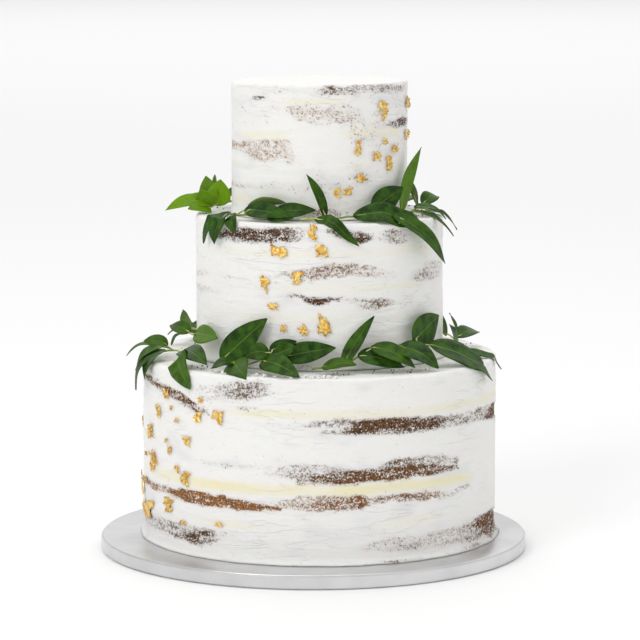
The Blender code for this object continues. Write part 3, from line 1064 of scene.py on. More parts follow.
TIER1_PATTERN = WallPattern(
    seed=11,
    specks=0.18,
    gain=1.06,
    scrapes=(
        Scrape(((-96, 127, 129, .3), (-86, 126, 129.5, .7), (-78, 125, 129, .9), (-62, 121, 128, .95),
                (-51, 115.5, 124, .95), (-44, 111.5, 119, .9), (-38, 110, 115, .5)), 0.45),
        Scrape(((-47, 124, 133, .25), (-36, 118, 132, .4), (-25, 121, 137, .62), (-18, 124, 137, .62),
                (-13, 126, 133, .3)), 0.1, 2.6),
        Scrape(((-38, 116, 118, .35), (-30, 116, 118.5, .5), (-20, 117, 119, .6)), 0.05, 1.0),
        Scrape(((-22, 104, 108, .12), (-8, 103, 109, .25), (-2, 104.5, 110, .55), (6, 105, 112, .6),
                (14, 104, 112, .6)), 0.15, 2.0),
        Scrape(((1, 100.5, 103, .8), (8, 100, 106, .8), (14, 99, 111, .9), (26, 98, 110.5, .95),
                (37, 98.5, 110, .92), (45, 99, 109.5, .72), (53, 100, 109.5, .62), (62, 99.5, 109, .66),
                (70, 97.5, 108.5, .8), (78, 96, 107, .95), (88, 93, 105, 1.0), (98, 94, 103, .8),
                (110, 96, 100, .35)), 0.2),
        Scrape(((-44, 75, 79, .22), (-32, 75, 79, .36), (-17, 74.5, 78.5, .26)), 0.0, 2.4),
        Scrape(((-17, 71, 79, .3), (-9, 69, 81, .5), (-2, 69, 81, .58), (5, 70, 80, .6),
                (12, 71, 77.5, .5)), 0.15, 2.0),
        Scrape(((-6, 66.5, 70.5, .8), (2, 66.3, 74.5, .95), (14, 66.5, 77, 1.0), (24, 67, 77, 1.0),
                (36, 67.5, 77, .9), (47, 68, 74, .9)), 0.42),
        Scrape(((19, 75, 79, .5), (24, 74, 82, .8), (30, 75, 83, .72), (38, 75, 83, .58),
                (46, 73, 79.5, .62), (49, 69, 78, .7)), 0.2),
        Scrape(((-100, 49, 51, .3), (-88, 48.5, 52, .7), (-77, 48, 52, .9), (-66, 47.5, 54, .86),
                (-60, 48.5, 54.5, .8), (-53, 47.5, 55, 1.1), (-45, 46.5, 55, 1.1), (-35, 46, 55, 1.15),
                (-25, 46, 54, 1.1), (-18, 47, 52, 1.0), (-13, 48.5, 50, .8)), 0.95, 1.1),
        Scrape(((-14, 50, 54, .45), (-6, 47.5, 58, .58), (3, 47.5, 59, .75), (13, 49, 59, .85),
                (16.5, 51.5, 57.5, .5), (20, 51.5, 57.5, .86), (27, 51, 58, .95), (34, 51, 58, .82),
                (41, 50.5, 57.5, .6), (45, 51, 56, .35)), 0.72),
        Scrape(((47, 51, 55, .4), (51, 52, 58, .55), (56, 54, 58, .4)), 0.1),
        Scrape(((-98, 23, 26, .2), (-78, 21, 29, .42), (-66, 20, 31, .55), (-56, 19.5, 31.5, .58),
                (-49, 18.5, 30, .66), (-43, 17.5, 30, .8), (-37, 18.5, 30, .78), (-33, 22, 31, .4),
                (-28, 27, 32, .3)), 0.16, 2.2),
        Scrape(((12, 20, 25, .35), (23, 17, 28, .46), (32, 16.5, 27, .52), (41, 16, 28, .52),
                (50, 17, 30, .5), (57, 14, 31, .62), (66, 14, 31.5, .85), (76, 13.5, 30.5, .95),
                (88, 13, 28, 1.0), (99, 14, 25, .75), (112, 16, 21, .3)), 0.36, 2.2),
        Scrape(((44, 11, 13, .4), (60, 11, 13.6, .66), (74, 11.2, 14.2, .74), (88, 11.5, 15, .74),
                (99, 11.6, 13.4, .4)), 0.5, 1.2),
        Scrape(((20, 10.8, 12.2, .5), (24, 10.8, 12.2, .66), (33, 10.8, 12.4, .5)), 0.0, 0.8),
        Scrape(((104, 72, 77, .5), (118, 70, 81, .95), (138, 71, 80, 1.0), (152, 72, 79, .8),
                (162, 74, 78, .4)), 0.6),
        Scrape(((128, 118, 124, .4), (148, 117, 130, .62), (170, 120, 131, .5), (184, 122, 128, .3)),
               0.1, 2.4),
        Scrape(((198, 99, 104, .5), (214, 98, 108, .95), (232, 99, 109, .9), (252, 100, 108, .8),
                (262, 102, 106, .4)), 0.25),
        Scrape(((160, 46, 51, .4), (176, 47, 55, .85), (196, 48, 56, .95), (214, 49, 54, .5)), 0.8),
        Scrape(((112, 17, 24, .4), (130, 16, 28, .7), (148, 18, 27, .6), (160, 20, 24, .3)), 0.3, 2.2),
        Scrape(((228, 18, 24, .4), (244, 17, 29, .62), (262, 19, 29, .5)), 0.3, 2.2),
    ),
    bands=(
        CreamBand(-30, 92, 114.2, 3.2, 0.62), CreamBand(-74, 58, 62.4, 4.0, 0.95),
        CreamBand(-42, -18, 35.5, 3.0, 0.35), CreamBand(18, 42, 38.0, 3.0, 0.3),
        CreamBand(-88, -70, 88, 4.0, 0.3), CreamBand(100, 262, 62.4, 3.6, 0.7),
        CreamBand(120, 240, 114.2, 3.0, 0.5),
    ),
    lips=(
        Lip(-28, -14, 1.5, 1.9, 1.5), Lip(-12, 6, 1.2, 1.6, 1.2), Lip(10, 24, 2.2, 1.4, 0.9),
        Lip(32, 52, 3.4, 1.1, 0.8), Lip(150, 180, 1.6, 1.8, 1.2),
    ),
)

TIER2_PATTERN = WallPattern(
    seed=23,
    specks=0.22,
    gain=1.12,
    scrapes=(
        Scrape(((-58, 226, 231, .6), (-50, 226, 234, .85), (-39, 226, 236, .86), (-30, 226.5, 236, .8),
                (-22, 227, 237, .95), (-14, 227.5, 238, .72), (-8, 229, 237, .5), (-5, 230, 236, .2)),
               0.06, 2.0),
        Scrape(((5, 234, 238, .7), (9, 230, 237, .75), (14, 227, 236, .86), (19, 226, 235, 1.05),
                (23, 227, 234, .8), (27, 228, 233, .3), (31, 226, 236, .52), (36, 224, 236, .66),
                (42, 225, 234, .46), (46, 227, 232, .2)), 0.16, 1.8),
        Scrape(((-23, 203, 205, .25), (-13, 202, 208, .48), (-4, 199, 211, .62), (5, 202, 214, .62),
                (14, 203, 213, .6), (20, 203, 212, .56), (26, 202, 210, .5), (36, 200, 205, .35)), 0.6, 2.2),
        Scrape(((43, 199, 202, .3), (49, 197, 204, .46), (57, 196, 210, .52), (66, 196, 210, .52),
                (75, 195, 209, .44), (80, 197, 207, .35)), 0.1, 2.4),
        Scrape(((-82, 196, 203, .42), (-64, 199, 203, .36), (-37, 200, 202, .26)), 0.2, 1.6),
        Scrape(((-78, 186, 192, .42), (-66, 186, 192, .46), (-53, 187, 191, .35)), 0.2, 2.0),
        Scrape(((-18, 188.5, 191, .62), (-9, 188.5, 191, .72), (-4, 184.5, 189.5, .9),
                (1, 184.5, 190, .98), (5, 186, 190, .8), (11, 187.5, 190, .5)), 0.08, 1.2),
        Scrape(((12, 186, 189, .36), (20, 181, 190, .52), (28, 179, 189, .62), (33, 180, 187, .5),
                (37, 183, 185, .25)), 0.25, 1.8),
        Scrape(((41, 178, 184, .24), (53, 178, 184, .2)), 0.1, 2.2),
        Scrape(((-38, 139.8, 142, .5), (-30, 139.8, 142.5, .4)), 0.1, 1.0),
        Scrape(((-9, 140, 143, .42), (11, 140, 143, .42)), 0.1, 1.2),
        Scrape(((28, 148, 152, .28), (53, 148, 152, .26)), 0.1, 2.0),
        Scrape(((96, 224, 230, .4), (112, 224, 235, .8), (130, 225, 236, .6), (146, 227, 233, .3)),
               0.15, 2.0),
        Scrape(((104, 201, 206, .5), (122, 200, 210, .9), (140, 202, 210, .8), (152, 203, 208, .4)), 0.3),
        Scrape(((176, 180, 186, .5), (196, 179, 188, .95), (216, 180, 189, .9), (238, 182, 187, .4)), 0.4),
        Scrape(((206, 222, 228, .4), (226, 223, 236, .66), (250, 225, 235, .6), (264, 226, 232, .3)),
               0.1, 2.2),
        Scrape(((120, 160, 164, .3), (146, 158, 168, .55), (168, 161, 166, .3)), 0.2, 2.2),
    ),
    bands=(
        CreamBand(-60, 70, 219.6, 3.2, 0.3), CreamBand(-20, 62, 196.0, 3.0, 0.28),
        CreamBand(-70, 20, 175.0, 3.0, 0.2), CreamBand(100, 260, 198.0, 3.4, 0.5),
    ),
    lips=(
        Lip(-34, -12, 1.6, 1.9, 1.9), Lip(-10, 4, 1.0, 1.3, 0.8), Lip(4, 26, 0.9, 1.2, 0.9),
        Lip(60, 80, 1.2, 1.5, 0.9), Lip(130, 170, 1.4, 1.6, 1.2),
    ),
)

TIER3_PATTERN = WallPattern(
    seed=37,
    specks=0.34,
    gain=0.98,
    scrapes=(
        Scrape(((-3, 327, 330, .36), (1, 326, 332, .5), (8, 326.5, 333, .74), (14, 327, 333.4, .6),
                (20, 326.5, 333.4, .58), (30, 326.5, 333.4, .52), (40, 326, 333.3, .64),
                (47, 326, 333.3, .74), (56, 325.5, 333, .58), (64, 326, 332, .68), (74, 327, 332, .45),
                (94, 328, 331, .2)), 0.12, 1.8),
        Scrape(((-45, 326, 332, .2), (-30, 326, 333, .34), (-18, 326, 333, .3), (-6, 327, 331, .24)),
               0.1, 2.6),
        Scrape(((-50, 321, 322.6, .6), (-45, 322, 324.5, .8), (-39, 324, 326, .7)), 0.0, 0.9),
        Scrape(((-21, 315, 320, .35), (-15, 309, 321, .55), (-6, 306, 321, .52), (4, 306, 319, .44),
                (10, 306.5, 320, .52), (20, 307, 320, .52), (27, 306, 318, .44), (32, 305, 312, .25)),
               0.8, 2.4),
        Scrape(((40, 303, 305, .55), (50, 302.5, 305.5, .62), (58, 301.5, 307, .82), (66, 301.5, 309, .98),
                (76, 303, 308, .85), (92, 304, 306.5, .3)), 0.05, 1.4),
        Scrape(((-108, 287, 289.5, .3), (-92, 285, 291, .8), (-76, 287, 292, .72),
                (-66, 285.5, 292.5, .66), (-58, 286, 293, .8), (-50, 282, 294, .62), (-37, 278, 296, .6),
                (-26, 281, 298, .56), (-19, 279, 297, .42), (-15, 280, 284, .25)), 0.95, 2.0),
        Scrape(((-82, 260, 264, .56), (-60, 259.5, 264.5, .54), (-43, 260, 265, .4), (-30, 262, 266, .36),
                (-4, 262, 265, .2)), 0.6, 2.0),
        Scrape(((-9, 268, 273, .26), (2, 268, 274, .36), (12, 268, 273, .26)), 0.0, 2.2),
        Scrape(((14, 262, 266, .24), (20, 262, 272, .36), (28, 263, 273, .48), (38, 266, 272, .3)),
               0.15, 2.2),
        Scrape(((-76, 303, 316, .2), (-55, 304, 318, .24), (-40, 303, 314, .2)), 0.05, 3.0),
        Scrape(((-90, 240.6, 243.4, .6), (-55, 240.6, 243, .5)), 0.2, 1.0),
        Scrape(((-14, 241, 248, .5), (0, 241, 249, .6), (17, 241.5, 247.5, .56)), 0.3, 2.0),
        Scrape(((98, 306, 312, .4), (118, 305, 316, .72), (146, 307, 318, .62), (166, 309, 315, .35)),
               0.3, 2.2),
        Scrape(((182, 285, 290, .5), (200, 283, 294, .8), (228, 284, 295, .66), (250, 286, 292, .4)),
               0.55, 2.0),
        Scrape(((206, 326, 332, .4), (232, 326, 333, .66), (256, 327, 332, .5)), 0.12, 1.8),
        Scrape(((110, 262, 266, .4), (136, 260, 271, .56), (158, 262, 268, .3)), 0.3, 2.2),
    ),
    bands=(
        CreamBand(-26, 18, 322.8, 2.6, 0.42), CreamBand(-66, -18, 298.6, 3.2, 0.5),
        CreamBand(14, 66, 299.6, 3.6, 0.62), CreamBand(-80, -60, 278, 3.0, 0.25),
        CreamBand(18, 34, 277.5, 3.0, 0.35), CreamBand(-74, -50, 253, 4.0, 0.4),
        CreamBand(110, 250, 300, 3.2, 0.5),
    ),
)


# --------------------------------------------------------------------------- garlands


@dataclass(frozen=True)
class Ledge:
    """The ring on which a garland lies: the wall behind it, its outer edge and its height."""

    centre_x: float
    centre_y: float
    wall: float
    edge: float
    height: float

    @classmethod
    def between(cls, lower: TierFrame, upper: TierFrame) -> "Ledge":
        """Take the ledge that a lower tier leaves round an upper one."""
        return cls(upper.centre_x, upper.centre_y, upper.radius, lower.radius, lower.top)

    def at(self, place: Sequence[float]) -> Vector:
        """Turn (bearing, out, up) into a point in metres.

        Args:
            place: A bearing in degrees, a distance out from the wall and one above the ledge.

        Returns:
            The point.
        """
        bearing, out, up = place
        turn = math.radians(bearing)
        reach = self.wall + out
        return Vector((
            self.centre_x + reach * math.sin(turn), self.centre_y - reach * math.cos(turn), self.height + up,
        )) * MM

    def slide(self, point: Vector, gap: float) -> float:
        """Give how far a point has to slide out and up, in millimetres, to clear the frosting.

        Args:
            point: A point in metres.
            gap: Least distance from the frosting in millimetres.

        Returns:
            The distance, 0 where the point is clear.
        """
        offset = math.hypot(point.x / MM - self.centre_x, point.y / MM - self.centre_y)
        height = point.z / MM - self.height
        needed = 0.0
        if height > 0:
            needed = max(needed, (self.wall + gap - offset) * math.sqrt(2))
        over = min(gap - height, self.edge + gap - offset)
        return max(needed, over * math.sqrt(2))

    def slid(self, point: Vector, slide: float) -> Vector:
        """Slide a point out and up by a distance in millimetres."""
        outward = Vector((point.x - self.centre_x * MM, point.y - self.centre_y * MM, 0)).normalized()
        return point + (outward + Vector((0, 0, 1))) * (slide * MM / math.sqrt(2))

    def clear(self, point: Vector, gap: float, corner_gap: float = 1.2,
              corner_reach: float = 9.0) -> Vector:
        """Move a point off the ledge and off the walls above and below it.

        Args:
            point: A point in metres.
            gap: Least distance from the frosting in millimetres.
            corner_gap: How much more is kept at the tier's edge.
            corner_reach: How far from the edge that reaches.

        Returns:
            The moved point.
        """
        offset = Vector((point.x - self.centre_x * MM, point.y - self.centre_y * MM))
        reach = offset.length / MM
        height = point.z / MM - self.height
        from_corner = math.hypot(reach - self.edge, height)
        kept = gap + corner_gap * max(0.0, 1.0 - from_corner / corner_reach)
        if height > 0:
            reach = max(reach, self.wall + gap)
        if height < kept and reach < self.edge + kept:
            if kept - height < self.edge + kept - reach:
                height = kept
            else:
                reach = self.edge + kept
        offset = offset.normalized() * reach
        return Vector((self.centre_x + offset.x, self.centre_y + offset.y, self.height + height)) * MM


@dataclass(frozen=True)
class Leaf:
    """One leaf.

    Attributes:
        base: Its lower end as (bearing, out, up).
        tip: Its point as (bearing, out, up).
        width: Greatest width in millimetres.
        facing: Where its upper side looks, from up (0) to out from the cake (90).
        bow: How far its middle rises, in millimetres.
        tint: From dark green (0) to yellow-green (1); the high values on the left cluster are painted light
            shining through the leaves.
        keel: How far its edges rise above its rib, in millimetres.
        twist: Turn from base to tip in degrees.
        look: The bearing its upper side looks along when it faces out, or None for its own.
    """

    base: tuple[float, float, float]
    tip: tuple[float, float, float]
    width: float
    facing: float
    bow: float
    tint: float = 0.1
    keel: float = 1.0
    twist: float = 0.0
    look: float | None = None


@dataclass(frozen=True)
class SprigPlan:
    """A stem and the leaves on it."""

    node: str
    stem: tuple[tuple[float, float, float], ...]
    leaves: tuple[Leaf, ...]


@dataclass
class Sprig:
    """Builds one sprig of a garland from its plan."""

    plan: SprigPlan
    ledge: Ledge
    rows: int = 18
    columns: int = 8
    thickness: float = 0.34
    gap: float = 0.7
    stem_radius: float = 0.85
    fullness: float = 1.0

    def build(self, finishes: "Palette") -> bpy.types.Object:
        """Model the sprig.

        Args:
            finishes: The materials.

        Returns:
            The finished sprig.
        """
        blades = [self.blade(number, leaf) for number, leaf in enumerate(self.plan.leaves)]
        blade = join(blades, f"{self.plan.node}_blades")
        blade.data.materials.append(finishes.leaf_upper)
        blade.data.materials.append(finishes.leaf_under)
        apply_modifier(blade, "SOLIDIFY", thickness=self.thickness * MM, offset=0.0, material_offset=1)
        stalks = [self.stem()]
        stalks += [self.stalk(leaf) for leaf in self.plan.leaves]
        for stalk in stalks:
            stalk.data.materials.append(finishes.stem)
        sprig = join([blade, *stalks], f"{self.plan.node}_leaves")
        sprig.data.shade_smooth()
        return sprig

    def knots(self) -> list[Vector]:
        """Give the stem's points, closely enough to curve round the wall.

        Returns:
            The points in metres.
        """
        ends = [self.ledge.at(place) for place in self.plan.stem]
        points = []
        for number, (first, second) in enumerate(zip(ends, ends[1:])):
            steps = max(2, round((second - first).length / (4 * MM)))
            for step in range(steps):
                point = first.lerp(second, step / steps)
                sway = math.sin(number * 2.3 + step * 0.9) * 0.5 * MM
                points.append(self.ledge.clear(point + Vector((0, 0, sway)), 1.2))
        return points + [self.ledge.clear(ends[-1], 1.2)]

    def stem(self) -> bpy.types.Object:
        """Model the stem as a thinning tube.

        Returns:
            The tube.
        """
        points = self.knots()
        radii = [self.stem_radius * (1.0 - 0.35 * step / len(points)) for step in range(len(points))]
        return rod(f"{self.plan.node}_stem", points, radii)

    def stalk(self, leaf: Leaf) -> bpy.types.Object:
        """Model the short stalk from the stem into a leaf's base.

        Args:
            leaf: The leaf.

        Returns:
            The stalk.
        """
        base = self.ledge.at(leaf.base)
        root = min(self.knots(), key=lambda point: (point - base).length)
        sections = self.drape(leaf)
        middle = sections[round(0.1 * self.rows)][0]
        upper = sections[0][2]
        half = self.ledge.clear(root.lerp(middle, 0.5) + upper * 0.6 * MM, self.gap + 0.4)
        inner = sections[round(0.3 * self.rows)][0] - upper * 0.2 * MM
        return rod(f"{self.plan.node}_stalk", [root, half, middle, inner], [0.7, 0.6, 0.5, 0.2])

    def section(self, leaf: Leaf, along: float) -> tuple[Vector, Vector, Vector]:
        """Give a leaf's middle, side direction and upper direction at a part of its length.

        Args:
            leaf: The leaf.
            along: From 0 at its base to 1 at its tip.

        Returns:
            The middle in metres and the two directions.
        """
        base = self.ledge.at(leaf.base)
        run = self.ledge.at(leaf.tip) - base
        turn = math.radians(leaf.facing + leaf.twist * (along - 0.5))
        look = (leaf.base[0] + leaf.tip[0]) / 2 if leaf.look is None else leaf.look
        bearing = math.radians(look)
        outward = Vector((math.sin(bearing), -math.cos(bearing), 0))
        wanted = Vector((0, 0, math.cos(turn))) + outward * math.sin(turn)
        side = wanted.cross(run).normalized()
        upper = run.cross(side).normalized()
        middle = base + run * along + upper * (leaf.bow * math.sin(math.pi * along) * MM)
        return middle, side, upper

    def drape(self, leaf: Leaf) -> list[tuple[Vector, Vector, Vector]]:
        """Give a leaf's sections from base to tip, slid smoothly clear of the frosting.

        Args:
            leaf: The leaf.

        Returns:
            The sections as section gives them.
        """
        sections = [self.section(leaf, step / self.rows) for step in range(self.rows + 1)]
        needed = []
        for step, (middle, side, upper) in enumerate(sections):
            half = leaf.width / 2 * self.outline(step / self.rows) * MM
            rise = upper * leaf.keel * self.outline(step / self.rows) * MM
            edges = (middle, middle + side * half + rise, middle - side * half + rise)
            needed.append(max(self.ledge.slide(place, self.gap) for place in edges))
        slides = np.array(needed)
        for _ in range(4):
            spread = np.pad(slides, 1, mode="edge")
            slides = np.maximum(needed, (spread[:-2] + 2 * spread[1:-1] + spread[2:]) / 4)
        return [
            (self.ledge.slid(middle, slide), side, upper)
            for (middle, side, upper), slide in zip(sections, slides)
        ]

    @staticmethod
    def outline(along: float) -> float:
        """Give a leaf's part of its full width: round at the base, drawn out to a point."""
        inside = min(max(along, 0.004), 0.996)
        return max(0.03, inside ** 0.55 * (1 - inside) ** 0.9 / 0.383)

    def blade(self, number: int, leaf: Leaf) -> bpy.types.Object:
        """Model one leaf blade as an open sheet, with a map across and along it.

        Args:
            number: The leaf's place in the sprig, which sets its waves.
            leaf: The leaf.

        Returns:
            The sheet.
        """
        bpy.ops.mesh.primitive_grid_add(
            x_subdivisions=self.columns, y_subdivisions=self.rows, size=2.0, location=(0, 0, 0),
        )
        sheet = bpy.context.object
        points = read_points(sheet.data)
        sections = self.drape(leaf)
        placed = np.empty_like(points)
        for index, (across, along, _) in enumerate(points):
            step = round((along + 1) / 2 * self.rows)
            part = step / self.rows
            middle, side, upper = sections[step]
            half = leaf.width / 2 * self.outline(part) * self.fullness
            wave = 0.35 * math.sin(7.5 * part + number * 1.9 + (2.0 if across > 0 else 0.0)) * across ** 2
            rise = leaf.keel * abs(across) ** 1.3 * self.outline(part) + wave * (0.4 + part)
            placed[index] = middle - side * (across * half * MM) + upper * (rise * MM)
        write_points(sheet.data, placed)
        self.map_blade(sheet.data, points)
        # The leaf's tint is stored for the material; its high values on the left cluster are painted
        # backlight.
        tint = max(0.0, leaf.tint + 0.12 * math.sin(number * 2.7)) ** 1.6
        write_field(sheet.data, "tint", np.full(len(points), tint))
        only(sheet)
        return sheet

    @staticmethod
    def map_blade(mesh: bpy.types.Mesh, plain: np.ndarray) -> None:
        """Store where each corner lies across and along the blade.

        Args:
            mesh: The blade's mesh.
            plain: Its points as a flat square, from -1 to 1.
        """
        for layer in list(mesh.uv_layers):
            mesh.uv_layers.remove(layer)
        layer = mesh.uv_layers.new(name="blade")
        corners = np.empty(len(mesh.loops), dtype=np.int32)
        mesh.loops.foreach_get("vertex_index", corners)
        layer.data.foreach_set("uv", ((plain[corners, :2] + 1) / 2).astype(np.float32).ravel())


def rod(name: str, points: Sequence[Vector], radii: Iterable[float]) -> bpy.types.Object:
    """Make a closed tube through points, with its own radius in millimetres at each.

    Args:
        name: The object's name.
        points: Its points in metres.
        radii: Its radii in millimetres.

    Returns:
        The tube as a mesh.
    """
    curve = bpy.data.curves.new(name, "CURVE")
    curve.dimensions = "3D"
    curve.bevel_depth = MM
    curve.bevel_resolution = 1
    curve.use_fill_caps = True
    spline = curve.splines.new("POLY")
    spline.points.add(len(points) - 1)
    for knot, point, radius in zip(spline.points, points, radii):
        knot.co = (*point, 1.0)
        knot.radius = radius
    tube = bpy.data.objects.new(name, curve)
    bpy.context.scene.collection.objects.link(tube)
    only(tube)
    bpy.ops.object.convert(target="MESH")
    tube = bpy.context.view_layer.objects.active
    bpy.ops.object.mode_set(mode="EDIT")
    bpy.ops.mesh.select_all(action="SELECT")
    bpy.ops.mesh.remove_doubles(threshold=0.00001)
    bpy.ops.mesh.normals_make_consistent(inside=False)
    bpy.ops.object.mode_set(mode="OBJECT")
    return tube


UPPER_PLANS = (
    # This sprig's high tints paint the light shining through its leaves as yellow-green.
    SprigPlan("upper_sprig_left", ((-132, 12, 3), (-112, 11, 5), (-96, 12, 5), (-87, 14, 4)), (
        Leaf((-93, 16, 6), (-90, 47, 1), 13, 45, 5, .95, 1.6, 0, -30),
        Leaf((-89, 14, 6), (-83, 35, 10), 12, 50, 2, .9, 1.0, 0, -20),
        Leaf((-93, 13, 5), (-95.6, 19, 25), 14, 80, 2, .8, 1.5, 0, -20),
        Leaf((-91, 10, 4), (-91.6, 8, 23), 17, 80, 1, 1.0, 1.5, 0, 0),
        Leaf((-87, 15, 4), (-84.6, 22.5, 17), 15, 75, 2, .9, 1.5, 0, -15),
        Leaf((-86, 15, 3), (-79, 32, 4), 12, 55, 2, .75, 1.0, 0, -10),
        Leaf((-108, 12, 6), (-105, 15, 25), 10, 60, 2, .9),
        Leaf((-120, 12, 4), (-112, 27, 8), 12, 20, 4, .4),
    )),
    SprigPlan("upper_sprig_front_left", ((-56, 15, 3), (-44.6, 17, 3), (-38.7, 15, 4.5), (-16.3, 15, 3)), (
        Leaf((-52, 17, 5), (-51.2, 31, -16.7), 17, 70, 4, .05, 2.0),
        Leaf((-47, 20, 4), (-39.9, 28, -8), 10, 60, 2, .0),
        Leaf((-57, 18, 3), (-60, 31, -17.4), 11, 60, 4, .2),
        Leaf((-45, 8.5, 7), (-19.2, 8, 12.9), 10, -40, 3, .3),
        Leaf((-44, 12, 7), (-14.2, 20, 4.4), 13, 50, 2, .12),
        Leaf((-27, 17, 3), (-12.6, 18.5, 3.5), 8, 60, 1, .05),
        Leaf((-25.4, 10, 6.5), (-2, 6, 7.9), 11, 60, 1, .15),
    )),
    SprigPlan("upper_sprig_front", ((-10, 12.5, 2), (3.5, 12, 2.5), (18.3, 9.5, 4), (36, 7.5, 4.5),
                                    (51.3, 9, 4.4)), (
        Leaf((3.1, 10.5, 3), (-7.5, 6.5, 32.7), 8, 20, 3, .12, 1.6),
        Leaf((-2.3, 14, 2.5), (17.1, 30, -14.7), 9, 60, 4, .1),
        Leaf((18.3, 11, 4), (55.4, 29, -7.5), 17, 55, 4, .05),
        Leaf((31.6, 6.5, 7), (56, 8, 21.2), 18, 80, -1, .0),
        Leaf((53, 8.5, 4.7), (74.4, 12, 47.8), 13, 75, -3, .75),
        Leaf((36.9, 21, 5), (59.3, 39.5, -31), 14, 60, 7, .1),
    )),
    SprigPlan("upper_sprig_right", ((61, 10, 3), (78, 9.5, 4), (92, 10, 4), (108, 11, 3)), (
        Leaf((62, 13, 4), (71, 37, -14), 7, 45, 4, .1),
        Leaf((68, 9, 6), (77.5, 29, -3), 10, 35, 4, .2),
        Leaf((78, 14, 3), (86, 35.5, -12), 7, 45, 4, .15),
        Leaf((92, 11, 5), (103, 24, 9), 12, 30, 4, .1),
        Leaf((104, 10, 4), (126, 8, 24), 13, 75, 2, .3),
    )),
)
LOWER_PLANS = (
    SprigPlan("lower_sprig_left_high", ((-124, 8, 10), (-104, 8, 14), (-84, 9, 16), (-67, 8, 18)), (
        Leaf((-106, 8, 14), (-103, 13, 28), 12, 70, 2, .25),
        Leaf((-74, 7, 18), (-84.4, 19, 21), 10, 40, 2, .2),
        Leaf((-78, 8, 16), (-76.2, 20, 9), 10, 50, 3, .2),
        Leaf((-67, 7, 19), (-46, 10, 19.5), 13, 60, 1, .45),
        Leaf((-118, 9, 11), (-108, 28, 8), 13, 30, 4, .2),
    )),
    SprigPlan("lower_sprig_left_low", ((-90, 22, 5), (-78, 22, 7), (-62, 21, 7), (-52, 20, 6)), (
        Leaf((-80, 21, 8), (-83.1, 38, 10.3), 11, 60, 2, .3),
        Leaf((-76, 25, 8.5), (-78.5, 45, -9), 12, 60, 5, .2),
        Leaf((-72, 26, 7), (-75.5, 46, -22), 13, 70, 8, .15),
        Leaf((-86, 27, 5), (-88, 50, -2), 9, 40, 5, .2),
        Leaf((-70, 27, 7), (-68.5, 44, -12), 15, 65, 5, .05),
        Leaf((-58, 24, 7.5), (-43.5, 41, -12.1), 17, 70, 4, .2),
        Leaf((-60, 23, 9), (-41, 30, 4), 15, 25, 4, .15),
    )),
    SprigPlan("lower_sprig_front_left", ((-43, 16, 3), (-33.6, 15, 5), (-29.6, 15, 4.5), (-23.4, 12, 7.7),
                                         (-19.5, 9.6, 12.5), (-14.9, 9.3, 10.4)), (
        Leaf((-42, 14, 5), (-22.6, 5.5, 35.9), 19, 75, 0, .1),
        Leaf((-34, 18, 6), (-23, 38, -3), 16, 45, 3, .15),
        Leaf((-33.1, 18, 5.5), (-37.5, 33, 3), 12, 30, 2, .2),
        Leaf((-20.3, 10, 12.5), (-29, 18, 10.5), 13, 55, 4, .05),
        Leaf((-20.7, 9, 14), (-9.5, 6, 21), 9, 60, 1, .05),
        Leaf((-17, 11, 12), (-9, 14, 18), 12, 50, 1, .05),
        Leaf((-14.9, 9.3, 10.4), (7, 5, 16.5), 14, 65, 1, .1),
        Leaf((-22, 17, 8), (-6, 38.7, 1), 15, 50, 5, .12),
    )),
    SprigPlan("lower_sprig_front_right", ((-3, 13, 3), (8, 14, 4), (15, 12, 11), (21.4, 11, 16),
    (40.2, 11, 18),
                                          (48.4, 14, 15)), (
        Leaf((9, 13, 5), (24.1, 4.5, 37.4), 10, 20, 2, .1),
        Leaf((1, 14, 4), (13.2, 22, 7), 13, 25, 2, .3),
        Leaf((15.2, 12, 12), (32, 22, 3), 15, 45, 3, .0),
        Leaf((21.2, 10, 17), (34.3, 28.2, 3), 15, 40, 4, .08),
        Leaf((32.8, 12, 16.3), (42.2, 34, 2), 19, 45, 4, .0),
        Leaf((42, 9, 18), (61.5, 7, 33), 20, 80, 0, .0),
        Leaf((48.4, 14.5, 15), (67.5, 43, -13), 22, 45, 6, .02),
    )),
    SprigPlan("lower_sprig_right", ((72, 12, 4), (84, 12, 6), (98, 11, 8), (114, 10, 9)), (
        Leaf((74, 15, 4), (80, 43, -9), 9, 50, 5, .05),
        Leaf((79, 11, 6), (73, 8, 24), 12, 80, 1, .0),
        Leaf((92, 11, 8), (96.4, 6, 27), 11, 80, 1, .1),
        Leaf((100, 13, 8), (108, 34, 9), 13, 30, 4, .15),
        Leaf((109, 10, 9), (127, 7, 26), 14, 75, 2, .1),
    )),
)


@dataclass(frozen=True)
class BackPlan:
    """A plain sprig that carries a garland round the back."""

    node: str
    start: float
    end: float
    out: float
    spacing: float = 5.6
    height: float = 5.0
    reach: float = 23.0

    def lay_out(self) -> SprigPlan:
        """Set leaves on alternate sides of the stem.

        Returns:
            The sprig's plan.
        """
        leaves = []
        count = round((self.end - self.start) / self.spacing)
        for number in range(count):
            bearing = self.start + (number + 0.3) * (self.end - self.start) / count
            reach = self.reach + 4.0 * math.sin(2.1 * number)
            lean = self.spacing * (1.6 + 0.5 * math.sin(1.3 * number))
            ends = (
                (bearing + lean, 0.5 * self.out, self.height + reach),
                (bearing + lean, self.out + reach, self.height - 3.0),
                (bearing + lean * 1.5, self.out + 0.5 * reach, self.height + 5.0),
            )
            leaves.append(Leaf(
                (bearing, self.out, self.height), ends[number % 3], 15 + 3 * math.sin(number),
                (75, 40, 50)[number % 3], (1, 5, 3)[number % 3], 0.15 + 0.14 * math.sin(1.7 * number),
            ))
        middle = (self.start + self.end) / 2
        stem = tuple((bearing, self.out, self.height) for bearing in (self.start, middle, self.end))
        return SprigPlan(self.node, stem, tuple(leaves))


UPPER_BACK = (
    BackPlan("upper_sprig_back_right", 118, 174, 11, 7.0),
    BackPlan("upper_sprig_back_left", 180, 224, 11, 7.0),
)
LOWER_BACK = (
    BackPlan("lower_sprig_back_right", 124, 172, 16), BackPlan("lower_sprig_back", 174, 208, 16),
    BackPlan("lower_sprig_back_left", 210, 234, 16),
)


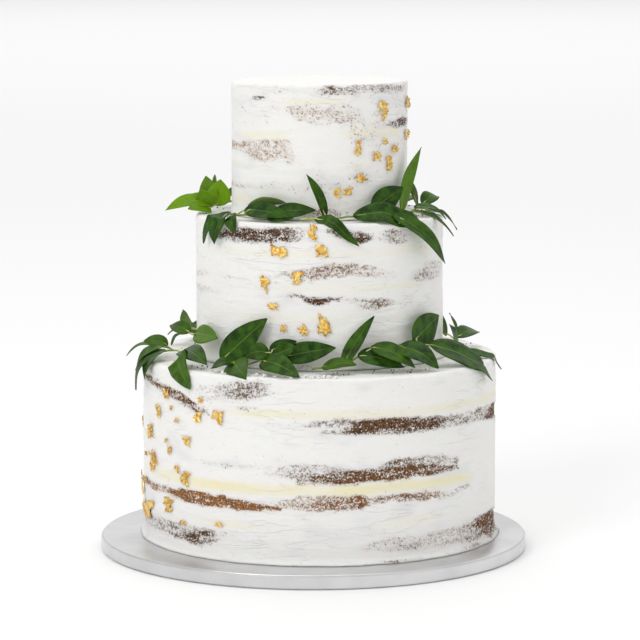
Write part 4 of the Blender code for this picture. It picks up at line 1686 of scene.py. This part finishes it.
# --------------------------------------------------------------------------- gold leaf and crumbs


@dataclass(frozen=True)
class Flake:
    """One torn piece of gold leaf.

    Attributes:
        bearing: The bearing of its middle in degrees.
        height: The height of its middle in millimetres.
        wide: Its width in millimetres.
        tall: Its height in millimetres.
        turn: How far it is turned on the wall, in degrees.
    """

    bearing: float
    height: float
    wide: float
    tall: float
    turn: float = 0.0


@dataclass
class GoldLeaf:
    """Torn, crumpled pieces of gold leaf stuck to one tier's wall."""

    tier: TierFrame
    flakes: tuple[Flake, ...]
    cells: int = 11
    thickness: float = 0.05
    seed: int = 900

    def build(self) -> bpy.types.Object:
        """Model all of this tier's pieces as one object.

        Returns:
            The joined pieces.
        """
        pieces = [self.piece(number, flake) for number, flake in enumerate(self.flakes)]
        whole = join(pieces, f"{self.tier.name}_gold_leaf")
        apply_modifier(whole, "SOLIDIFY", thickness=self.thickness * MM, offset=0.0)
        whole.data.shade_smooth()
        return whole

    def piece(self, number: int, flake: Flake) -> bpy.types.Object:
        """Model one piece: a sheet with a torn outline, crumpled and laid on the wall.

        Args:
            number: Its place in the list, which seeds its shape.
            flake: Where and how large it is.

        Returns:
            The sheet.
        """
        chance = np.random.default_rng(self.seed + number + round(self.tier.radius))
        bpy.ops.mesh.primitive_grid_add(
            x_subdivisions=self.cells, y_subdivisions=self.cells, size=2.0, location=(0, 0, 0),
        )
        sheet = bpy.context.object
        points = read_points(sheet.data)
        angle = np.arctan2(points[:, 1], points[:, 0])
        waves = sum(
            chance.uniform(0.06, 0.2) * np.sin(angle * count + chance.uniform(0, 6.28))
            for count in (2, 3, 5, 7)
        )
        keep = np.maximum(np.abs(points[:, 0]), np.abs(points[:, 1])) < 0.86 + waves
        bpy.ops.object.mode_set(mode="EDIT")
        shell = bmesh.from_edit_mesh(sheet.data)
        shell.verts.ensure_lookup_table()
        for vertex, kept in zip(list(shell.verts), keep):
            if not kept:
                shell.verts.remove(vertex)
        for vertex in [vertex for vertex in shell.verts if not vertex.link_faces]:
            shell.verts.remove(vertex)
        bmesh.update_edit_mesh(sheet.data)
        bpy.ops.object.mode_set(mode="OBJECT")
        points = read_points(sheet.data)
        spin = math.radians(flake.turn)
        east = points[:, 0] * math.cos(spin) - points[:, 1] * math.sin(spin)
        north = points[:, 0] * math.sin(spin) + points[:, 1] * math.cos(spin)
        folds = sum(
            np.abs(np.sin(points[:, 0] * chance.uniform(2, 6) + points[:, 1] * chance.uniform(2, 6)
                          + chance.uniform(0, 6.28)))
            for _ in range(3)
        )
        lift = 0.3 + 0.75 * folds + chance.uniform(-0.25, 0.25, len(points))
        squeeze = 1.2 - 0.08 * folds
        bearing = flake.bearing + np.degrees(east * squeeze * flake.wide / 2 / self.tier.radius)
        height = flake.height + north * squeeze * flake.tall / 2
        write_points(sheet.data, self.tier.place(bearing, self.tier.radius + lift, height))
        return sheet


TIER3_FLAKES = (
    Flake(44, 318, 10, 9), Flake(45, 311.5, 5, 7), Flake(78, 318.5, 13, 10), Flake(76, 296.5, 11, 8),
    Flake(46, 293.5, 5.5, 4.5), Flake(56, 288, 8.5, 7), Flake(25, 290, 5.5, 11), Flake(39, 284, 7, 8),
    Flake(50, 278, 8, 11), Flake(27, 269, 8, 6.5, 25), Flake(11, 259.5, 6, 7), Flake(18, 260, 7, 6),
    Flake(150, 300, 9, 8), Flake(172, 284, 8, 9), Flake(214, 312, 7, 7), Flake(236, 270, 8, 6),
)
TIER2_FLAKES = (
    Flake(-3, 235, 7, 11, -15), Flake(-18, 221, 13, 9), Flake(1, 222, 9, 9.5), Flake(-10, 203.5, 9, 9),
    Flake(-25, 199, 7, 11.5, -20), Flake(-21, 183, 8, 6), Flake(-16, 168, 4.5, 6.5),
    Flake(-7, 167, 6.5, 8.5, 30),
    Flake(2, 170, 10, 15, -12), Flake(128, 214, 9, 8), Flake(160, 190, 8, 11), Flake(250, 196, 7, 8),
)
TIER1_FLAKES = (
    Flake(-57, 120, 9, 7), Flake(-40, 120, 5, 4.5), Flake(-62, 106, 6, 12, 15), Flake(-54, 111, 3, 3.5),
    Flake(-51, 103, 5, 4), Flake(-41, 108, 7.5, 8.5), Flake(-33, 110, 9, 11, -18), Flake(-70, 89, 16, 9, 20),
    Flake(-57, 87, 3.5, 4), Flake(-46, 90, 8, 7.5), Flake(-55, 81, 5, 6.5), Flake(-74, 72, 5, 3.5),
    Flake(-67, 70, 13, 15, 25), Flake(-51, 69, 6, 6), Flake(-47, 63.5, 10, 10, -10), Flake(-84, 46, 20, 17),
    Flake(-77, 52, 8, 6), Flake(-75, 32, 34, 15), Flake(-56, 42, 13, 12), Flake(-48, 32, 7, 4),
    Flake(-33, 35, 7, 3), Flake(140, 96, 10, 9), Flake(166, 60, 9, 11), Flake(206, 78, 8, 8),
    Flake(238, 38, 9, 7), Flake(-100, 60, 10, 9), Flake(-96, 88, 8, 9),
)


@dataclass(frozen=True)
class CrumbPatch:
    """Where loose crumbs lie.

    Attributes:
        start: The first bearing in degrees.
        end: The last bearing in degrees.
        nearest: The least distance from the axis, or the least height on a wall, in millimetres.
        farthest: The greatest distance or height, in millimetres.
        count: How many there are.
    """

    start: float
    end: float
    nearest: float
    farthest: float
    count: int


@dataclass
class Crumbs:
    """Loose crumbs scattered on a tier's ledge or stuck to its wall, as small lumps."""

    name: str
    tier: TierFrame
    seed: int
    patches: tuple[CrumbPatch, ...]
    smallest: float
    largest: float
    on_wall: bool = False

    def build(self) -> bpy.types.Object:
        """Model all the crumbs as one object.

        Returns:
            The joined crumbs.
        """
        chance = np.random.default_rng(self.seed)
        bpy.ops.mesh.primitive_ico_sphere_add(subdivisions=1, radius=1.0, location=(0, 0, 0))
        pattern = bpy.context.object
        shape = read_points(pattern.data)
        faces = [tuple(face.vertices) for face in pattern.data.polygons]
        points = []
        corners = []
        for patch in self.patches:
            for _ in range(patch.count):
                size = chance.uniform(self.smallest, self.largest) / 2
                bearing = chance.uniform(patch.start, patch.end)
                along = patch.nearest + (patch.farthest - patch.nearest) * chance.uniform(0, 1)
                lump = shape * size * chance.uniform(0.65, 1.2, (len(shape),
                1)) * chance.uniform(0.7, 1.2, 3)
                reach = self.tier.radius + size * 0.2 if self.on_wall else along
                height = along if self.on_wall else self.tier.top + size * 0.45
                middle = self.tier.place(np.array([bearing]), np.array([reach]), np.array([height]))[0]
                corners += [tuple(len(points) + index for index in face) for face in faces]
                points += list(middle + lump * MM)
        bpy.data.objects.remove(pattern)
        mesh = bpy.data.meshes.new(self.name)
        mesh.from_pydata([tuple(point) for point in points], [], corners)
        crumbs = bpy.data.objects.new(self.name, mesh)
        bpy.context.scene.collection.objects.link(crumbs)
        crumbs.data.shade_smooth()
        return crumbs


# --------------------------------------------------------------------------- board and studio


@dataclass
class Board:
    """The drum board: foil over the top, and a foil band round the rim that ends in a seam."""

    node: str = "board"
    sides: int = 320
    edge: float = 1.5
    seam_drop: float = 1.15
    seam_depth: float = 0.6
    top_rings: int = 10
    sunk: float = 0.06

    def build(self) -> bpy.types.Object:
        """Model the board from a cylinder with a rounded, banded rim.

        Returns:
            The finished board.
        """
        low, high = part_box(self.node)
        radius = (high.x - low.x) / 2 / MM
        thick = (high.z - low.z) / MM
        bpy.ops.mesh.primitive_cylinder_add(
            vertices=self.sides, radius=1.0, depth=1.0, end_fill_type="NGON", location=(0, 0, 0.5),
        )
        board = bpy.context.object
        board.name = "foil_board"
        settle(board)
        outline = self.outline(radius, thick)
        cut_wall(board, len(outline) - 2)
        points = read_points(board.data)
        row = np.rint(points[:, 2] * (len(outline) - 1)).astype(int)
        bearing = np.degrees(np.arctan2(points[:, 0], -points[:, 1]))
        reach = outline[row, 0]
        height = outline[row, 1]
        noise = WallNoise(5, 2 * math.pi * radius)
        on_rim = smoothstep(radius - 4, radius - 1, reach)
        dent = noise.rough(bearing, height * 3, 16, 9, 1) * 0.16
        dent += noise.layer(bearing, height, 5, 30, 2) * 0.07
        crinkle = smoothstep(-75, -58, bearing) * (1 - smoothstep(-52, -40, bearing))
        crinkle += 0.7 * smoothstep(28, 36, bearing) * (1 - smoothstep(48, 58, bearing))
        dent += crinkle * noise.layer(bearing, height * 2, 3.2, 4, 3) * 0.28
        reach = reach - np.abs(dent) * on_rim
        sag = noise.rough(bearing, reach, 40, 30, 4) * self.sunk
        on_top = row > len(outline) - self.top_rings - 1
        height = np.where(on_top, np.minimum(height + sag - self.sunk, thick), height)
        turn = np.radians(bearing)
        placed = np.stack((reach * np.sin(turn), -reach * np.cos(turn), height), axis=-1) * MM
        write_points(board.data, placed)
        board.data.shade_smooth()
        board.data.set_sharp_from_angle(angle=math.radians(50))
        return board

    def outline(self, radius: float, thick: float) -> np.ndarray:
        """Give the points of (reach, height) from under the rim to near the middle of the top.

        Args:
            radius: The board's radius in millimetres.
            thick: Its thickness in millimetres.

        Returns:
            One row per ring.
        """
        edge = self.edge
        rim = radius - 0.05
        points = [(radius - edge, 0.0), (radius - edge * 0.3, edge * 0.3), (rim, edge)]
        points += [(rim, edge + (thick - 2 * edge) * step / 4) for step in range(1, 4)]
        seam = thick - self.seam_drop
        points += [(rim, seam - 0.15), (rim - self.seam_depth, seam), (rim - self.seam_depth, seam + 0.25)]
        for step in range(1, 5):
            turn = math.pi / 2 * step / 4
            points.append((
                rim - self.seam_depth - 1.0 + math.cos(turn),
                seam + 0.25 + (self.seam_drop - 0.25) * math.sin(turn),
            ))
        inner = points[-1][0]
        for step in range(1, self.top_rings + 1):
            points.append((inner * (1 - step / self.top_rings) + 4.0 * step / self.top_rings, thick))
        return np.array(points)


@dataclass(frozen=True)
class Palette:
    """The finished materials."""

    scraped: bpy.types.Material
    foil: bpy.types.Material
    leaf_upper: bpy.types.Material
    leaf_under: bpy.types.Material
    stem: bpy.types.Material
    gold: bpy.types.Material
    brown_crumb: bpy.types.Material
    white_crumb: bpy.types.Material

    @classmethod
    def mix(cls) -> "Palette":
        """Make every material once.

        Returns:
            The palette.
        """
        return cls(
            scraped=ScrapedFinish().make("scraped_frosting"),
            foil=FoilFinish().make("silver_foil"),
            leaf_upper=LeafFinish(LeafSide.UPPER).make("ruscus_upper"),
            leaf_under=LeafFinish(LeafSide.UNDER).make("ruscus_under"),
            stem=StemFinish().make("ruscus_stem"),
            gold=GoldFinish().make("gold_leaf"),
            brown_crumb=CrumbFinish(linear(120, 82, 52), linear(58, 38, 26)).make("sponge_crumb"),
            white_crumb=CrumbFinish(linear(244, 243, 240), linear(226, 224, 220)).make("frosting_crumb"),
        )


@dataclass
class Studio:
    """Pale floor, soft white light and the camera."""

    camera_at: tuple[float, float, float] = (0.0047, -2.2, 0.458)
    pitch: float = 7.64
    lens: float = 174.9
    sky: float = 0.64
    key_watts: float = 22.0
    fill_watts: float = 2.0
    top_watts: float = 32.0
    back_watts: float = 190.0
    middle: tuple[float, float, float] = (0.0, 0.0, 0.16)

    def build(self) -> None:
        """Set up the floor, the lights, the sky and the camera."""
        self.floor()
        self.lamp("key_light", (-1.5, -2.1, 1.9), self.middle, 1.3, self.key_watts)
        self.lamp("fill_light", (2.1, -1.9, 1.3), self.middle, 1.6, self.fill_watts)
        self.lamp("top_light", (0.0, 0.2, 3.4), self.middle, 2.6, self.top_watts)
        self.lamp("back_light", (0.0, 8.5, 4.0), (0.0, 8.5, 0.0), 12.0, self.back_watts)
        self.light_room()
        self.place_camera()
        bpy.context.scene.view_settings.view_transform = "Standard"

    def light_room(self) -> None:
        """Give the room its even white light."""
        world = bpy.data.worlds.new("white_room")
        world.use_nodes = True
        background = world.node_tree.nodes["Background"]
        background.inputs["Color"].default_value = (1, 1, 1, 1)
        background.inputs["Strength"].default_value = self.sky
        bpy.context.scene.world = world

    def place_camera(self) -> None:
        """Set up the camera a little above the cake, looking slightly down."""
        view = bpy.data.cameras.new("camera")
        view.lens = self.lens
        view.sensor_width = 36.0
        view.clip_end = 50.0
        camera = bpy.data.objects.new("camera", view)
        camera.location = self.camera_at
        camera.rotation_euler = (math.radians(90 - self.pitch), 0, 0)
        bpy.context.scene.collection.objects.link(camera)
        bpy.context.scene.camera = camera

    @staticmethod
    def floor() -> None:
        """Lay the floor."""
        bpy.ops.mesh.primitive_plane_add(size=60.0, location=(0, 0, -0.0002))
        floor = bpy.context.object
        floor.name = "floor"
        nodes = Nodes("pale_floor")
        nodes.constant(Roughness=0.9)
        nodes.shader.inputs["Base Color"].default_value = (0.96, 0.96, 0.96, 1)
        floor.data.materials.append(nodes.material)

    @staticmethod
    def lamp(name: str, place: tuple[float, float, float], aim: tuple[float, float, float],
             size: float, watts: float) -> None:
        """Hang one soft white lamp.

        Args:
            name: Its name.
            place: Where it hangs, in metres.
            aim: The point it looks at.
            size: Its diameter in metres.
            watts: Its power.
        """
        light = bpy.data.lights.new(name, "AREA")
        light.shape = "DISK"
        light.size = size
        light.energy = watts
        lamp = bpy.data.objects.new(name, light)
        lamp.location = place
        lamp.rotation_euler = (Vector(place) - Vector(aim)).to_track_quat("Z", "Y").to_euler()
        bpy.context.scene.collection.objects.link(lamp)


# --------------------------------------------------------------------------- the whole cake


@dataclass
class WeddingCake:
    """Builds every piece and ties it to the frame."""

    record: dict
    palette: Palette = field(default_factory=Palette.mix)
    tiers: dict[str, TierFrame] = field(default_factory=dict)

    def finish_piece(self, piece: bpy.types.Object, nodes: Sequence[str],
                     finish: bpy.types.Material | None) -> None:
        """Dress a piece, tie it to the frame and report it.

        Args:
            piece: The finished object.
            nodes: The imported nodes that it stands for.
            finish: Its material, or None where it has its own.
        """
        if finish is not None:
            piece.data.materials.clear()
            piece.data.materials.append(finish)
        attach(piece, "root")
        if nodes:
            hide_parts(*nodes)
        LOG.info("%s: %d faces", piece.name, len(piece.data.polygons))

    def build_tier(self, name: str, pattern: WallPattern) -> None:
        """Build one tier's coat and the layers inside it.

        Args:
            name: The tier's name.
            pattern: What its wall shows.
        """
        tier = TierFrame.of(name)
        self.tiers[name] = tier
        wall = Wall(tier, pattern)
        self.finish_piece(Coat(wall).build(), (f"{name}_coat",), self.palette.scraped)
        inside = [
            entry["node"] for entry in self.record["subparts"]
            if entry["node"].startswith(name) and not entry["node"].endswith("coat")
        ]
        for node in inside:
            is_sponge = "sponge" in node
            layer = Layer(wall, node, is_sponge).build()
            self.finish_piece(layer, (node,), self.palette.scraped)

    def build_garland(self, ledge: Ledge, plans: Iterable[SprigPlan], fullness: float) -> None:
        """Build the sprigs of one garland.

        Args:
            ledge: Where it lies.
            plans: Its sprigs.
            fullness: How wide its leaves are, against their plans.
        """
        for plan in plans:
            sprig = Sprig(plan, ledge, fullness=fullness).build(self.palette)
            self.finish_piece(sprig, (plan.node,), None)

    def build_scatter(self) -> None:
        """Build the gold leaf and the loose crumbs."""
        lowest, middle, highest = (self.tiers[name] for name in ("tier1", "tier2", "tier3"))
        leaf = [
            GoldLeaf(tier, flakes).build()
            for tier, flakes in ((lowest, TIER1_FLAKES), (middle, TIER2_FLAKES), (highest, TIER3_FLAKES))
        ]
        self.finish_piece(join(leaf, "gold_leaf"), (), self.palette.gold)
        scatter = (
            Crumbs("tier1_ledge_crumbs", lowest, 3, (
                CrumbPatch(-60, -20, 104, 118, 30), CrumbPatch(4, 60, 96, 116, 30),
                CrumbPatch(60, 300, 96, 120, 40),
            ), smallest=0.4, largest=1.2),
            Crumbs("tier2_ledge_crumbs", middle, 4, (
                CrumbPatch(-80, -50, 68, 82, 14), CrumbPatch(60, 90, 68, 80, 30),
                CrumbPatch(90, 300, 68, 82, 30),
            ), smallest=0.4, largest=1.2),
        )
        loose = join([crumbs.build() for crumbs in scatter], "ledge_crumbs")
        self.finish_piece(loose, (), self.palette.brown_crumb)
        icing = Crumbs("icing_bits", lowest, 5, (
            CrumbPatch(-9, 6, 118, 124.5, 60), CrumbPatch(-34, -9, 120, 124, 16),
        ), smallest=0.9, largest=3.4)
        self.finish_piece(icing.build(), (), self.palette.white_crumb)

    def build(self) -> None:
        """Build the whole cake."""
        self.finish_piece(Board().build(), ("board",), self.palette.foil)
        for name, pattern in (("tier1", TIER1_PATTERN), ("tier2", TIER2_PATTERN), ("tier3", TIER3_PATTERN)):
            self.build_tier(name, pattern)
        upper = Ledge.between(self.tiers["tier2"], self.tiers["tier3"])
        lower = Ledge.between(self.tiers["tier1"], self.tiers["tier2"])
        self.build_garland(upper, UPPER_PLANS + tuple(plan.lay_out() for plan in UPPER_BACK), 1.02)
        self.build_garland(lower, LOWER_PLANS + tuple(plan.lay_out() for plan in LOWER_BACK), 1.12)
        self.build_scatter()


def main() -> None:
    """Load the frame and build the cake and the studio."""
    logging.basicConfig(level=logging.INFO, format="%(message)s")
    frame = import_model()
    bpy.ops.object.select_all(action="DESELECT")
    WeddingCake(frame["record"]).build()
    Studio().build()


if __name__ == "__main__":
    main()
